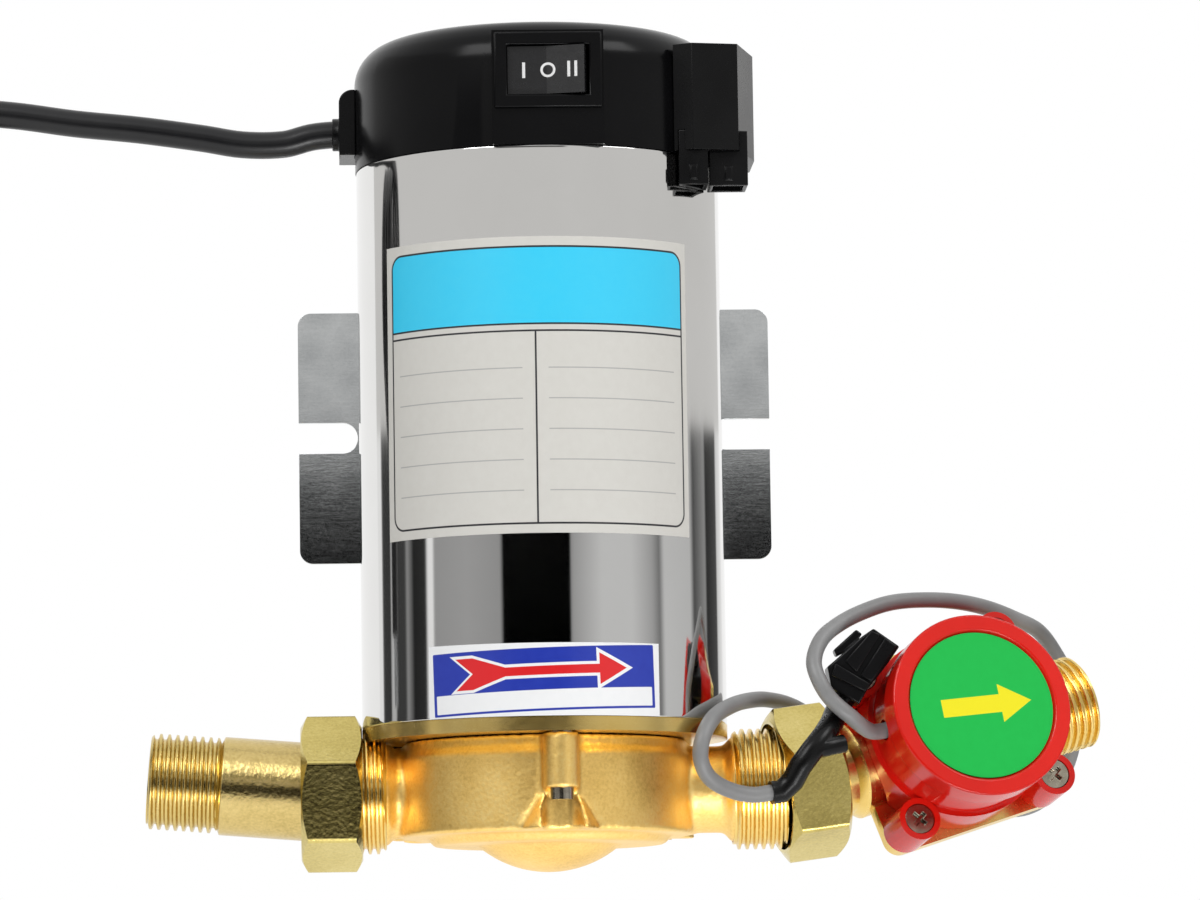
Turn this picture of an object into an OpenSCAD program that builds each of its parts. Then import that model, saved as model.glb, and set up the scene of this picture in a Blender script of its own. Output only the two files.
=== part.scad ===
// Shower pump: a canned-rotor booster pump on a wall bracket, with a union on
// each port and a flow switch on the outlet. Millimetres, +Z up, front at -Y.
// The origin is on the wall, midway between the bracket's two slots.

/* [Wall bracket] */
// Overall width of the bracket
bracket_w = 107; // [102:1:130]
// Height of the bracket
bracket_h = 57.2; // [40:0.1:80]
// Height of the slots above the port axis
slot_height = 83.2; // [75:0.1:95]
// Width of a slot
slot_w = 7; // [4:0.1:9]
// Distance from the pump's axis to a slot's closed end
slot_end = 40.1; // [36:0.1:44]
// Thickness of the bracket plate
bracket_t = 1.5; // [1:0.1:2.5]
// Radius of the bracket's corners
bracket_corner_r = 3; // [1:0.1:6]
// Gap between the bracket's saddle and the wall
wall_gap = 3; // [1:0.1:8]
// Half width of the saddle welded to the shell
saddle_half_w = 16; // [10:0.5:20]
// Distance from the pump's axis to the flat part of an ear
ear_start = 28; // [26:0.5:32]

/* [Motor housing] */
// Outer radius of the motor shell
shell_r = 40; // [38:0.1:44]
// Wall of the motor shell
shell_wall = 0.8; // [0.5:0.1:1.2]
// Length of the motor shell
shell_h = 123.2; // [120:0.1:150]
// Height of the top cap above the shell
cap_h = 28.1; // [27:0.1:34]
// Rounding of the top cap's shoulder
cap_round = 9; // [4:0.1:12]
// Wall of the top cap
cap_wall = 2.4; // [1.6:0.1:3]
// Step from the shell out to the cap
cap_step = 0.2; // [0:0.1:0.6]
// Depth of the cap's spigot inside the shell
spigot_h = 6; // [5:0.1:9]
// Wall of the cap's spigot
spigot_wall = 1.8; // [1.2:0.1:2.4]
// Thread radius of a cap screw
cap_screw_r = 1.25; // [1:0.05:1.5]
// Head radius of a cap screw
cap_screw_head_r = 2.6; // [2:0.1:3]
// Head height of a cap screw
cap_screw_head_h = 1.2; // [0.8:0.1:1.6]
// Width of the flat pad around the switch
pad_w = 24.1; // [22:0.1:30]
// Height of the flat pad
pad_h = 24.9; // [23:0.1:26]

/* [Rocker switch] */
// Sideways place of the switch
switch_x = 1.35; // [-2:0.05:4]
// Height of the switch's centre above the shell's top
switch_rise = 16.1; // [14:0.1:18]
// Width of the switch frame
frame_w = 23.2; // [21:0.1:23.8]
// Height of the switch frame
frame_h = 16.4; // [15:0.1:17]
// Thickness of the switch frame
frame_t = 1.1; // [0.8:0.1:2]
// Width of the switch body
switch_w = 18.9; // [18:0.1:19.5]
// Height of the switch body
switch_h = 12.7; // [12:0.1:13.5]
// Depth of the switch body behind the frame
switch_d = 22; // [16:0.5:24]
// Width of the rocker
rocker_w = 16.7; // [14:0.1:17]
// Height of the rocker
rocker_h = 10.4; // [9:0.1:10.8]
// Tilt of the pressed rocker
rocker_tilt = 10; // [6:0.5:12]
// Radius of the rocker's pivot
rocker_pin_r = 1; // [0.8:0.05:1.2]
// Gap around the rocker
rocker_gap = 0.3; // [0.25:0.05:0.5]

/* [Connector box and sockets] */
// Height of the connector box
box_h = 23.3; // [18:0.1:26]
// Wall of the connector box
box_wall = 1.8; // [1.2:0.1:2.4]
// Drop of the sockets below the box
socket_drop = 7.6; // [5:0.1:10]
// Wall of a socket
socket_wall = 0.9; // [0.7:0.1:1.2]

/* [Mains cord] */
// Diameter of the mains cord
cord_d = 6; // [5:0.1:6.4]
// Height of the gland's hole above the shell's top
gland_rise = 9.4; // [8:0.1:11]
// How far the gland block stands out of the cap
gland_out = 3.5; // [2.5:0.1:6]
// Height of the gland block
gland_h = 14.6; // [13:0.1:17]
// Width of the gland block
gland_w = 15; // [12:0.1:18]
// Radius of the coil's centre line
coil_r = 33; // [30:0.5:40]
// Turns in the coil, one quarter past a whole number
coil_turns = 4.25; // [3.25, 4.25, 5.25]
// Free gap between two turns of the coil
coil_gap = 0.5; // [0.45:0.05:1]
// Body width of the mains plug
plug_w = 23; // [20:0.5:26]
// Body depth of the mains plug
plug_d = 16; // [14:0.5:20]
// Body length of the mains plug
plug_l = 26; // [22:0.5:32]

/* [Motor inside] */
// Outer radius of the rotor can
can_r = 21; // [19:0.1:22]
// Wall of the rotor can
can_wall = 0.5; // [0.4:0.05:0.8]
// Air gap between rotor and can
rotor_gap = 0.6; // [0.4:0.05:0.8]
// Length of the rotor and stator stacks
stack_h = 45; // [35:0.5:46]
// Height of the stator's foot above the flange
stack_rise = 20.1; // [19:0.1:24]
// Radius of the rotor shaft
shaft_r = 4; // [3.5:0.05:4.5]
// Outer radius of the bearings
bearing_r = 7.5; // [7:0.05:8]
// Length of the lower bearing
lower_bearing_h = 8.5; // [6:0.1:9]
// Length of the upper bearing
upper_bearing_h = 7.5; // [6:0.1:8]
// Radius of the run capacitor
capacitor_r = 15; // [12:0.1:16]
// Height of the run capacitor
capacitor_h = 36; // [28:0.1:37]
// Thickness of the control board
board_t = 1.6; // [1.2:0.1:2]

/* [Pump body] */
// Thickness of the flange plate
flange_h = 3; // [2.6:0.1:5]
// Height of the flange's underside above the port axis
body_top = 10.9; // [10.5:0.1:13]
// Radius of the cast drum
drum_r = 32; // [31:0.1:33]
// Radius of the seat under the flange
seat_r = 31; // [30.4:0.1:31]
// Outer radius of the port arms
arm_r = 9.5; // [9:0.1:10]
// Radius of the disc under the drum
disc_r = 25.9; // [22:0.1:28]
// Radius of the dome's sphere
dome_r = 24; // [22:0.1:30]
// Drop of the dome below the port axis
dome_drop = 17.6; // [15:0.1:20]
// Radius of the impeller chamber
chamber_r = 23.6; // [23:0.1:24]
// Radius of a bolt boss
boss_r = 3.8; // [3.5:0.1:4.2]
// Radius of a body bolt
bolt_r = 2.5; // [2:0.05:2.6]
// Section radius of the body's O-ring
oring_r = 0.98; // [0.8:0.01:1.05]
// Radius of the impeller
impeller_r = 22.4; // [20:0.1:22.5]
// Height of the impeller
impeller_h = 6.2; // [5:0.1:6.6]
// Vanes of the impeller
impeller_vanes = 6; // [4:1:8]

/* [Ports and unions] */
// Radius of the port's thread, G 3/4
port_r = 13.22; // [13:0.01:13.3]
// Radius of the end threads, G 1/2
end_thread_r = 10.48; // [10:0.01:10.5]
// Pitch of the threads
thread_pitch = 1.814; // [1.5:0.001:2]
// Depth of the threads
thread_depth = 1.16; // [0.8:0.01:1.2]
// Length of a port's thread
port_thread_l = 10; // [9:0.1:10.5]
// Length of the inlet port beyond the shell
inlet_past_shell = 5; // [4.9:0.1:5.2]
// Length of the outlet port beyond the shell
outlet_past_shell = 11; // [10:0.1:13]
// Bore of the ports
port_bore_r = 7.5; // [6:0.1:8.5]
// Distance across the flats of a union nut
nut_flats = 30; // [29.6:0.1:32]
// Length of a union nut
nut_l = 13.4; // [13.2:0.1:14.2]
// Radius of the inlet tailpiece
tail_r = 10.75; // [10.55:0.05:10.75]
// Length of the inlet tailpiece from its collar
tail_l = 39.6; // [36:0.1:44]
// Rise of the inlet tailpiece toward its end
tail_tilt = 4.7; // [0:0.1:4.8]
// Thickness of the gaskets
gasket_t = 1.4; // [1.3:0.1:1.5]

/* [Flow switch] */
// Radius of the switch's brass barrel
barrel_r = 11; // [10.6:0.1:11.4]
// Bore of the brass tube
tube_bore_r = 7; // [6:0.1:8]
// Length of the brass tube from its collar
tube_l = 68; // [64:0.5:74]
// Distance from the collar to the housing's centre
housing_place = 31.7; // [31:0.1:33]
// Radius of the housing's foot
housing_r = 20.6; // [20:0.1:21.5]
// Radius of the housing's upper part
housing_top_r = 19.4; // [18.8:0.1:19.9]
// Height of the housing over the tube's axis
housing_top = 24; // [23:0.1:26]
// Height of the switch's cap
switch_cap_h = 6.8; // [5:0.1:8]
// Place of a lug along and across the tube
lug_place = 17; // [16.5:0.1:17.4]
// Radius of a lug
lug_r = 4.7; // [4.3:0.1:4.7]
// Length of the magnetic shuttle
shuttle_l = 14; // [10:0.5:16]
// Travel of the magnetic shuttle
shuttle_travel = 6; // [4:0.5:8]
// Diameter of the signal cable
cable_d = 3.5; // [3:0.1:3.6]

/* [Labels] */
// Thickness of the labels
label_t = 0.15; // [0.1:0.01:0.3]
// Height of the rating label
rating_h = 64; // [40:0.5:70]
// Height of the rating label's foot above the port axis
rating_foot = 53.1; // [45:0.1:60]
// Height of the arrow label
arrow_label_h = 15.6; // [12:0.1:18]

/* [Hidden] */
$fn = 96;

// Shared clearances and overruns
overrun = 1;
slip = 0.1;
run_fit = 0.03;
slide_fit = 0.05;
free_gap = 0.3;
skin_gap = 0.02;

// Levels up the pump
axis_to_wall = shell_r + bracket_t + wall_gap;
flange_top = body_top + flange_h;
shell_top = flange_top + shell_h;
cap_r = shell_r + cap_step;
cap_top = shell_top + cap_h;
shell_in_r = shell_r - shell_wall;
cap_in_r = cap_r - cap_wall;
ceiling_z = cap_top - cap_wall;
spigot_r = shell_in_r - slip;
screw_drop = 2.6;
screw_z = shell_top - screw_drop;
cap_screw_reach = 2.6;
cap_screw_angles = [30, 90, 150];

// Flange, bearing plate and can
flange_spigot_h = 5;
bolt_inset = 4.4;
bolt_circle_r = shell_r - bolt_inset;
bolt_angles = [-86.2, 33.8, 153.8];
bolt_tip = 14.6;
bolt_head_r = 3.5;
bolt_head_h = 3;
bolt_clear = 0.15;
can_flange_r = 24.5;
can_flange_t = 0.8;
bearing_disc_t = 1.5;
clamp_t = bearing_disc_t + can_flange_t;
bearing_hub_wall = 1.95;
bearing_hub_top = 9.6;
hub_floor_t = 1.5;
vent_r = 1.6;
vent_circle_r = 16;
lower_bearing_z = body_top + slip;
hub_r = bearing_r + slide_fit + bearing_hub_wall;
shaft_hole_r = shaft_r + rotor_gap;

// Stator, rotor and end bell
stack_z = flange_top + stack_rise;
stator_r = shell_in_r - slip - slip;
stator_in_r = can_r + can_wall;
slot_count = 12;
slot_in_share = 2.5 / 17.5;
slot_out_share = 11.5 / 17.5;
stator_web = stator_r - stator_in_r;
slot_in_r = stator_in_r + stator_web * slot_in_share;
slot_out_r = stator_in_r + stator_web * slot_out_share;
slot_width = 6;
wire_gap = 0.2;
end_turn_h = 7.7;
bell_wall = 2.4;
bell_gap = 6;
bell_disc_t = 3;
bell_disc_z = stack_z + stack_h + end_turn_h + wire_gap + bell_gap - slip;
bell_hub_r = 12;
bell_hub_h = 5;
can_top = bell_disc_z - bell_gap;
can_boss_wall = 0.85;
can_boss_r = bearing_r + slide_fit + can_boss_wall;
can_boss_h = 6;
can_lid_t = 0.8;
upper_bearing_z = can_top + can_boss_h - can_lid_t - slip - slip - upper_bearing_h;
rotor_short = 2;
shaft_top = upper_bearing_z + upper_bearing_h * 0.8;
collar_wall = 1.5;
collar_h = 8;
capacitor_x = -15;
capacitor_y = 6;
capacitor_tab = [2, 6.3, 6];
capacitor_z = bell_disc_z + bell_disc_t;

// Impeller and its chamber
chamber_floor = 0.5;
impeller_rise = 0.7;
impeller_z = chamber_floor + impeller_rise;
impeller_top = impeller_z + impeller_h;
impeller_disc_t = 1;
impeller_eye_r = 8.6;
impeller_hub_r = 5;
vane_t = 1.2;
vane_lean = 55;
spindle_r = 3;
nut_small_flats = 8;
nut_small_h = 3;
spindle_below = 1;
eye_r = 8.4;
floor_t = 3;
suction_r = 11;
suction_h = 6;
duct_r = 4;
duct_drop = 5;
groove_w = 2.3;
groove_depth = 2;
groove_mid_r = 28.4;
drum_bottom = -10;
seat_h = 3.4;
disc_x = 0.7;
disc_bottom = -11.8;
disc_rise = 2.1;
boss_bottom = -1.4;
bell_foot_r = 8.5;
bell_foot_in = 5.1;
notch_r = 4.4;
inlet_x = shell_r + inlet_past_shell;
outlet_x = shell_r + outlet_past_shell;
port_neck_l = 2;
port_root_r = port_r - thread_depth;
outlet_bore_start = 20;
ridge_lead = 0.82;
crest_share = 0.3;
flank_share = 0.3;

// Union nuts, measured from the mouth along the axis
nut_gap = 0.1;
nut_mouth_x = shell_r + nut_gap;
nut_recess_gap = 0.68;
nut_recess_l = 3.6;
nut_crest_gap = 0.08;
nut_thread_end = 8.2;
nut_cavity_r = 12.3;
nut_lip_start = 11.3;
nut_lip_r = 11.58;
nut_face_r = 14.6;
nut_turn = 9.5;
pivot_past_port = 2.2;
pivot_rise = 0.2;
union_collar_r = 11.9;
union_collar_t = 1.6;
gasket_r = 11.8;
loose_gasket_r = 11.4;
tail_thread_l = 16;
tail_bore_r = 7.5;
outlet_nut_place = [-0.6, -0.1, 0.4];
outlet_nut_yaw = 9;
outlet_nut_rise = 7.65;

// Flow switch, in its own frame: X along the tube, Z out through the housing
tube_place = [7, 1.1, 1.5];
tube_yaw = 18;
tube_rise = 15.7;
tube_roll = 13;
tube_neck_r = 9.4;
tube_neck_l = 7.6;
tube_shoulder_l = 2;
tube_thread_l = 11;
plate_z = 0.5;
plate_t = 3.4;
plate_half = 21.2;
plate_corner_r = 3.5;
housing_z = 4;
housing_step_z = 14;
housing_floor_z = 7;
housing_wall = 1.9;
lug_turn = 1.5;
lug_top_z = 15;
screw_seat_z = 13;
housing_screw_r = 1.8;
housing_screw_head_r = 3.3;
housing_screw_head_t = 1.8;
cross_w = 0.9;
cross_l = 3.6;
cross_depth = 1;
screw_tip_z = 0.8;
switch_cap_extra_r = 1;
switch_cap_rim = 3.6;
switch_cap_recess = 1;
disc_t = 0.4;
shuttle_x = 24;
shuttle_bore_r = 4;
spring_l = 12;
spring_out_r = 6;
spring_in_r = 5;
stop_t = 3;
stop_bore_r = 4.2;
reed_l = 26;
reed_w = 16;
reed_t = 1.6;
reed_hole_r = 2.3;
reed_hole_y = 2.7;
reed_hole_z = 19.8;

// Switch, connector box and gland details
switch_z = shell_top + switch_rise;
pad_y = -(cap_r - slip);
frame_y = pad_y - frame_t;
pivot_in = 2.6;
rocker_mid_dip = 1;
rocker_side = 0.6;
rocker_rear = 3.2;
rocker_rear_half = 5;
pocket_d = 7.4;
pocket_side = 0.55;
pin_reach = 0.65;
box_plan = [[29, -28.2], [33, -30.5], [43, -28.5], [47.4, -12], [47.4, 4],
  [40, 10]];
box_middle = [40.5, -12];
plan_reach = 40;
box_reach = shell_r / plan_reach;
box_z = shell_top + slip + slip;
left_socket = [29.9, -29.4, 6.3, 9.4];
right_socket = [36.6, -27, 8.4, 10];
socket_top = 4.4;
socket_floor = 1.2;
latch = [1.6, 0.4, 2.9];
latch_rise = 1.2;
gland_y = 4;
gland_collar_r = 3.6;
gland_collar_l = 1.5;
gland_corner_r = 3;
gland_bore_l = 2.4;
gland_low_share = 0.386;

// Board and what stands on it
board_plan = [48, 40];
board_middle_y = 6;
board_drop = 21;
board_z = cap_top - board_drop - board_t - cap_wall + slip * 8;
board_top = board_z + board_t;
post_r = 2.5;
post_places = [[-20, -10], [20, -10], [-20, 22], [20, 22]];
relay_size = [19, 15.5, 15];
relay_place = [-12, 4];
terminal_size = [22, 8, 10];
switch_back_gap = 5.1;
terminal_place = [-11, pad_y + switch_d + switch_back_gap];

// Labels, as angles round the shell from its front
rating_start_angle = -56.8;
rating_end_angle = 50.5;
arrow_start_angle = -39.7;
arrow_end_angle = 36;

// Bracket
ear_y = axis_to_wall - bracket_t;
slot_r = slot_w / 2;

// Route of the mains cord, pump frame
cord_r = cord_d / 2;
coil_pitch = cord_d + coil_gap;
coil_x = -158;
coil_z = 119.5;
coil_lead = 6;
coil_rings = 24;
cord_route = [[-42.1, 4, 146.5], [-45.6, 4, 146.5], [-50, 4, 146], [-56, 4, 144.5],
  [-65, 4, 144.5], [-74, 4, 146], [-88, 4, 148], [-102, 4, 149.5],
  [-116, 4, 151.5], [-130, 4, 152.5], [-142, 4, 152.5], [-152, 4, 152.5]];
coil_end_y = 4 + coil_turns * coil_pitch;
tail_foot_z = 82;
tie_w = 6;
tie_t = 1;
relief_r = 5.5;
relief_l = 10;
plug_corner_r = 5;
pin_l = 17;
blade = [1.5, 6.3];
blade_apart = 12.7;
blade_y = -2;
ground_r = 2.4;
ground_y = 4.5;

// Route of the signal cable, pump frame
cable_r = cable_d / 2;
cable_route = [[76, -13, 12.5], [73, -13.5, 11.5], [70, -15.5, 11.5],
  [65.5, -19.5, 14.5], [61.5, -20.5, 18], [59, -20.5, 22],
  [58, -18.5, 26.5], [60, -15, 31.5], [64, -11, 35], [69.5, -6.5, 38],
  [76.5, -1.5, 40.5], [84.5, 4, 41.5], [92.5, 10, 41.5],
  [100, 17, 40.5], [107, 24, 38.5], [112.5, 31, 36.5], [117, 38, 32],
  [120.5, 41.5, 25.5], [121.5, 42.3, 17.5], [120.5, 42.3, 9.5],
  [116.5, 39.5, 2], [109.5, 34.5, -3], [100.5, 31, -3], [90.5, 29.5, 0.5],
  [80.5, 28.5, 4.5], [71, 26.5, 10], [63.5, 22.5, 15], [56, 16, 19],
  [49.5, 6, 20], [44, -5, 19], [39.5, -16, 17], [35.5, -24.5, 14],
  [33, -28.5, 9.5], [32.5, -28.5, 5], [34.5, -26.5, 1], [39, -24, -1.5],
  [44, -22, -2.5], [48, -21, -2]];
boot_route = [[48, -21, -2], [50.4, -20.4, -1.7], [52.8, -20.9, 0.6],
  [54.4, -21.9, 3.6], [57, -22.5, 7], [60, -19.6, 10.6], [61.8, -16.2, 13.2],
  [62.8, -13.8, 15.2], [63.72, -13, 17], [64.8, -13, 18.85]];
branch_route = [[57, -22.5, 7], [60, -21.5, 7.5], [64, -20, 8.5]];
boot_r = 2.6;
branch_r = 2;

// Signal plug, outline seen from the front
plug_front = -17.5;
plug_back = -8.5;
plug_outline = [[61.8, 20.6], [61, 25.4], [62.6, 26.7], [68.1, 31.5],
  [71.2, 33.6], [76.8, 29.6], [73.7, 25.3], [69.7, 20.5], [67.8, 17.1]];
lever_outline = [[63.2, 27.8], [62.6, 29.2], [67.6, 33.6], [68.9, 32.6],
  [68.1, 31.5], [64.9, 28.7]];
lever_in = 2;

module placed() {
  translate([0, -axis_to_wall, -slot_height])
    children();
}

module at(z) {
  translate([0, 0, z])
    children();
}

module ring(r_out, r_in, h) {
  difference() {
    cylinder(r = r_out, h = h);
    at(-overrun) cylinder(r = r_in, h = h + 2 * overrun);
  }
}

// A cylinder along X from x0 to x1
module bar_x(r, x0, x1) {
  translate([x0, 0, 0])
    rotate([0, 90, 0])
      cylinder(r = r, h = x1 - x0);
}

// Annular ridges that stand for a thread, from z = 0 up
module ridges(r, root, h, lead) {
  crest = thread_pitch * crest_share / 2;
  flank = thread_pitch * flank_share;
  count = floor((h - lead - crest - flank) / thread_pitch) + 1;
  cylinder(r = root, h = h);
  rotate_extrude()
    for (i = [0 : count - 1]) {
      mid = lead + i * thread_pitch;
      polygon([[root - overrun, mid - crest - flank], [root, mid - crest - flank],
        [r, mid - crest], [r, mid + crest], [root, mid + crest + flank],
        [root - overrun, mid + crest + flank]]);
    }
}

// A sector of the shell's surface between two angles from the front
module sector(r, r_in, z0, h, from, to) {
  step = (to - from) / 3;
  far = r * 3;
  at(z0)
    intersection() {
      ring(r, r_in, h);
      linear_extrude(h)
        polygon(concat([[0, 0]], [for (i = [0 : 3])
          [far * sin(from + i * step), -far * cos(from + i * step)]]));
    }
}

// Sweeps: a tube of straight runs along a list of points
function unit(v) = v / norm(v);
function tangent(p, i) =
  i == 0 ? unit(p[1] - p[0]) :
  i == len(p) - 1 ? unit(p[i] - p[i - 1]) :
  unit(unit(p[i + 1] - p[i]) + unit(p[i] - p[i - 1]));
function flatten_to(n, t) = unit(n - t * (n * t));
function normals(p) = [
  for (i = 0, n = flatten_to([0.1, 0.2, 1], tangent(p, 0)); i < len(p);
    i = i + 1, n = i < len(p) ? flatten_to(n, tangent(p, i)) : n) n];

module sweep(p, r, sides) {
  ns = normals(p);
  count = len(p);
  points = [for (i = [0 : count - 1])
    let (n = ns[i], b = cross(tangent(p, i), n))
    for (k = [0 : sides - 1])
      p[i] + r * (n * cos(360 * k / sides) + b * sin(360 * k / sides))];
  walls = [for (i = [0 : count - 2]) for (k = [0 : sides - 1])
    let (a = i * sides + k, b = i * sides + (k + 1) % sides)
    each [[a, b, b + sides], [a, b + sides, a + sides]]];
  ends = [for (k = [1 : sides - 2])
    each [[0, k + 1, k], [(count - 1) * sides, (count - 1) * sides + k,
      (count - 1) * sides + k + 1]]];
  polyhedron(points, concat([for (f = walls) [f[0], f[2], f[1]]],
    [for (f = ends) [f[0], f[2], f[1]]]));
}

function coil_point(turn) = [
  coil_x - coil_r * sin(360 * turn),
  cord_route[0][1] + coil_pitch * turn,
  coil_z + coil_r * cos(360 * turn)];
coil_path = concat(
  [coil_point(0) + [coil_lead, 0, 0], coil_point(0) + [coil_lead / 3, 0, 0]],
  [for (i = [0 : coil_turns * coil_rings]) coil_point(i / coil_rings)],
  [coil_point(coil_turns) - [0, 0, coil_lead / 3],
    coil_point(coil_turns) - [0, 0, coil_lead]]);

// Least distance between points of the coil half a turn or more apart
coil_least = min([for (i = [0 : len(coil_path) - 1])
  for (j = [i + coil_rings / 2 : len(coil_path) - 1])
    norm(coil_path[i] - coil_path[j])]);
echo(coil_least_gap = coil_least - cord_d);

// Motor housing

module motor_shell() {
  color("lightsteelblue")
    placed()
      difference() {
        at(flange_top) ring(shell_r, shell_in_r, shell_h);
        for (a = cap_screw_angles)
          at(screw_z) rotate([0, 90, a]) cylinder(r = cap_screw_r + slide_fit, h = cap_r);
      }
}

// A turned solid with a rounded top edge
module cap_form(r, h, rounding) {
  rotate_extrude() {
    square([r - rounding, h]);
    square([r, h - rounding]);
    intersection() {
      translate([r - rounding, h - rounding]) circle(r = rounding);
      square([r, h]);
    }
  }
}

module cap_screw_hole(r) {
  for (a = cap_screw_angles)
    at(screw_z) rotate([0, 90, a]) cylinder(r = r, h = cap_r);
}

module top_cap() {
  color("black")
    placed() {
      difference() {
        union() {
          at(shell_top) cap_form(cap_r, cap_h, cap_round);
          translate([switch_x - pad_w / 2, pad_y, shell_top])
            cube([pad_w, cap_r / 3, pad_h]);
        }
        at(shell_top - overrun)
          cap_form(cap_in_r, cap_h - cap_wall + overrun, cap_round - cap_wall);
        translate([switch_x, 0, switch_z])
          switch_block(slip, 2 * cap_wall);
      }
      difference() {
        at(shell_top - spigot_h)
          ring(spigot_r, spigot_r - spigot_wall, spigot_h + spigot_wall);
        cap_screw_hole(cap_screw_r);
        translate([0, 0, shell_top - overrun / 2])
          linear_extrude(spigot_h)
            difference() {
              circle(r = cap_r * 2);
              circle(r = spigot_r);
            }
      }
      for (p = post_places)
        translate([p[0], p[1], board_top])
          cylinder(r = post_r, h = ceiling_z - board_top + cap_wall / 3);
    }
}

// The switch body's block or its hole in the cap, centred on the switch
module switch_block(extra, depth) {
  translate([-switch_w / 2 - extra, pad_y - extra, -switch_h / 2 - extra])
    cube([switch_w + 2 * extra, depth + 2 * extra, switch_h + 2 * extra]);
}

rocker_pocket_w = rocker_w + 2 * pocket_side;
rocker_pocket_h = rocker_h + 2 * rocker_gap;
rocker_pin_half = rocker_h / 2 + pin_reach + rocker_gap - slip;

module switch_body() {
  color("dimgray")
    placed()
      translate([switch_x, 0, switch_z])
        difference() {
          union() {
            translate([-frame_w / 2, frame_y, -frame_h / 2])
              cube([frame_w, frame_t, frame_h]);
            switch_block(0, switch_d);
          }
          translate([-rocker_pocket_w / 2, frame_y - overrun, -rocker_pocket_h / 2])
            cube([rocker_pocket_w, pocket_d + overrun, rocker_pocket_h]);
          translate([0, frame_y + pivot_in, 0])
            cylinder(r = rocker_pin_r + run_fit, h = 2 * rocker_pin_half + slip, center = true);
        }
}

module rocker() {
  half = rocker_w / 2;
  color("black")
    placed()
      translate([switch_x, frame_y + pivot_in, switch_z])
        rotate([0, 0, -rocker_tilt]) {
          at(-rocker_h / 2)
            linear_extrude(rocker_h)
              polygon([[-half, -pivot_in], [0, rocker_mid_dip - pivot_in],
                [half, -pivot_in], [half, rocker_side],
                [rocker_rear_half, rocker_rear], [-rocker_rear_half, rocker_rear],
                [-half, rocker_side]]);
          cylinder(r = rocker_pin_r, h = 2 * rocker_pin_half, center = true);
        }
}

function toward(p, q, d) = p + unit(q - p) * d;

module connector_box() {
  inner = [for (p = box_plan * box_reach) toward(p, box_middle * box_reach, box_wall)];
  color("black")
    placed()
      difference() {
        at(box_z) linear_extrude(box_h) polygon(box_plan * box_reach);
        at(box_z - overrun) cylinder(r = cap_r, h = box_h + 2 * overrun);
        difference() {
          at(box_z + box_wall)
            linear_extrude(box_h - 2 * box_wall) polygon(inner);
          at(box_z) cylinder(r = cap_r + box_wall, h = box_h);
        }
        socket_block(carried(left_socket), slip, shell_r + slip);
        socket_block(carried(right_socket), slip, shell_r + slip);
      }
}

// A socket's outer block with its back cleared round the shell
// A socket's corner, width and depth, its corner carried out with the motor's radius
function carried(s) = [s[0] * box_reach, s[1] * box_reach, s[2], s[3]];

module socket_block(s, extra, clear_r) {
  foot = box_z - socket_drop;
  difference() {
    translate([s[0] - extra, s[1] - extra, foot - extra])
      cube([s[2] + 2 * extra, s[3] + 2 * extra, socket_drop + socket_top + 2 * extra]);
    at(foot - overrun) cylinder(r = clear_r, h = socket_drop + socket_top + 2 * overrun);
  }
}

module socket_hollow(s) {
  foot = box_z - socket_drop;
  difference() {
    translate([s[0] + socket_wall, s[1] + socket_wall, foot - overrun])
      cube([s[2] - 2 * socket_wall, s[3] - 2 * socket_wall,
        socket_drop + socket_top - socket_floor + overrun]);
    at(foot - 2 * overrun)
      cylinder(r = cap_r + free_gap + socket_wall, h = socket_drop + socket_top + 3 * overrun);
  }
}

module socket(s) {
  difference() {
    socket_block(s, 0, cap_r + slip);
    socket_hollow(s);
  }
  translate([s[0] + s[2] / 2 - latch[0] / 2, s[1] - latch[1], box_z - socket_drop + latch_rise])
    cube([latch[0], latch[1], latch[2]]);
}

module socket_left() {
  color("black") placed() socket(carried(left_socket));
}

module socket_right() {
  color("black") placed() socket(carried(right_socket));
}

module cord_gland() {
  foot = shell_top + gland_rise - gland_h * gland_low_share;
  out = cap_r + gland_out;
  color("black")
    placed()
      difference() {
        union() {
          translate([0, gland_y + gland_w / 2, foot])
            rotate([90, 0, 0])
              linear_extrude(gland_w) {
                translate([-out, 0]) square([out, gland_h - gland_corner_r]);
                translate([-out + gland_corner_r, 0])
                  square([out - gland_corner_r, gland_h]);
                translate([-out + gland_corner_r, gland_h - gland_corner_r])
                  circle(r = gland_corner_r);
              }
          translate([0, gland_y, cord_route[0][2]])
            bar_x(gland_collar_r, -out - gland_collar_l, -out + overrun);
        }
        at(foot - overrun) cylinder(r = cap_r, h = gland_h + 2 * overrun);
        translate([-overrun, gland_y - gland_w, foot - overrun])
          cube([out, 2 * gland_w, gland_h + 2 * overrun]);
        translate([0, gland_y, cord_route[0][2]])
          bar_x(cord_r + slide_fit, -out - gland_collar_l - overrun, cord_route[0][0]);
      }
}

module mains_cord() {
  color("black") placed() sweep(cord_route, cord_r, 12);
}

module cord_coil() {
  color("black") placed() sweep(coil_path, cord_r, 6);
}

tail_top = coil_path[len(coil_path) - 1];

module cord_tail() {
  steps = 3;
  color("black")
    placed()
      sweep([for (i = [0 : steps])
        [tail_top[0], tail_top[1], tail_top[2] + (tail_foot_z - tail_top[2]) * i / steps]],
        cord_r, 12);
}

module cord_tie() {
  first = cord_route[0][1] + coil_pitch / 2;
  strands = floor(coil_turns);
  inner_y = (strands - 1) * coil_pitch + cord_d + 2 * free_gap;
  inner_z = cord_d + 3 * free_gap;
  color("dimgray")
    placed()
      translate([coil_x, first + (strands - 1) * coil_pitch / 2, coil_z - coil_r])
        difference() {
          cube([tie_w, inner_y + 2 * tie_t, inner_z + 2 * tie_t], center = true);
          cube([tie_w + 2 * overrun, inner_y, inner_z], center = true);
        }
}

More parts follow.
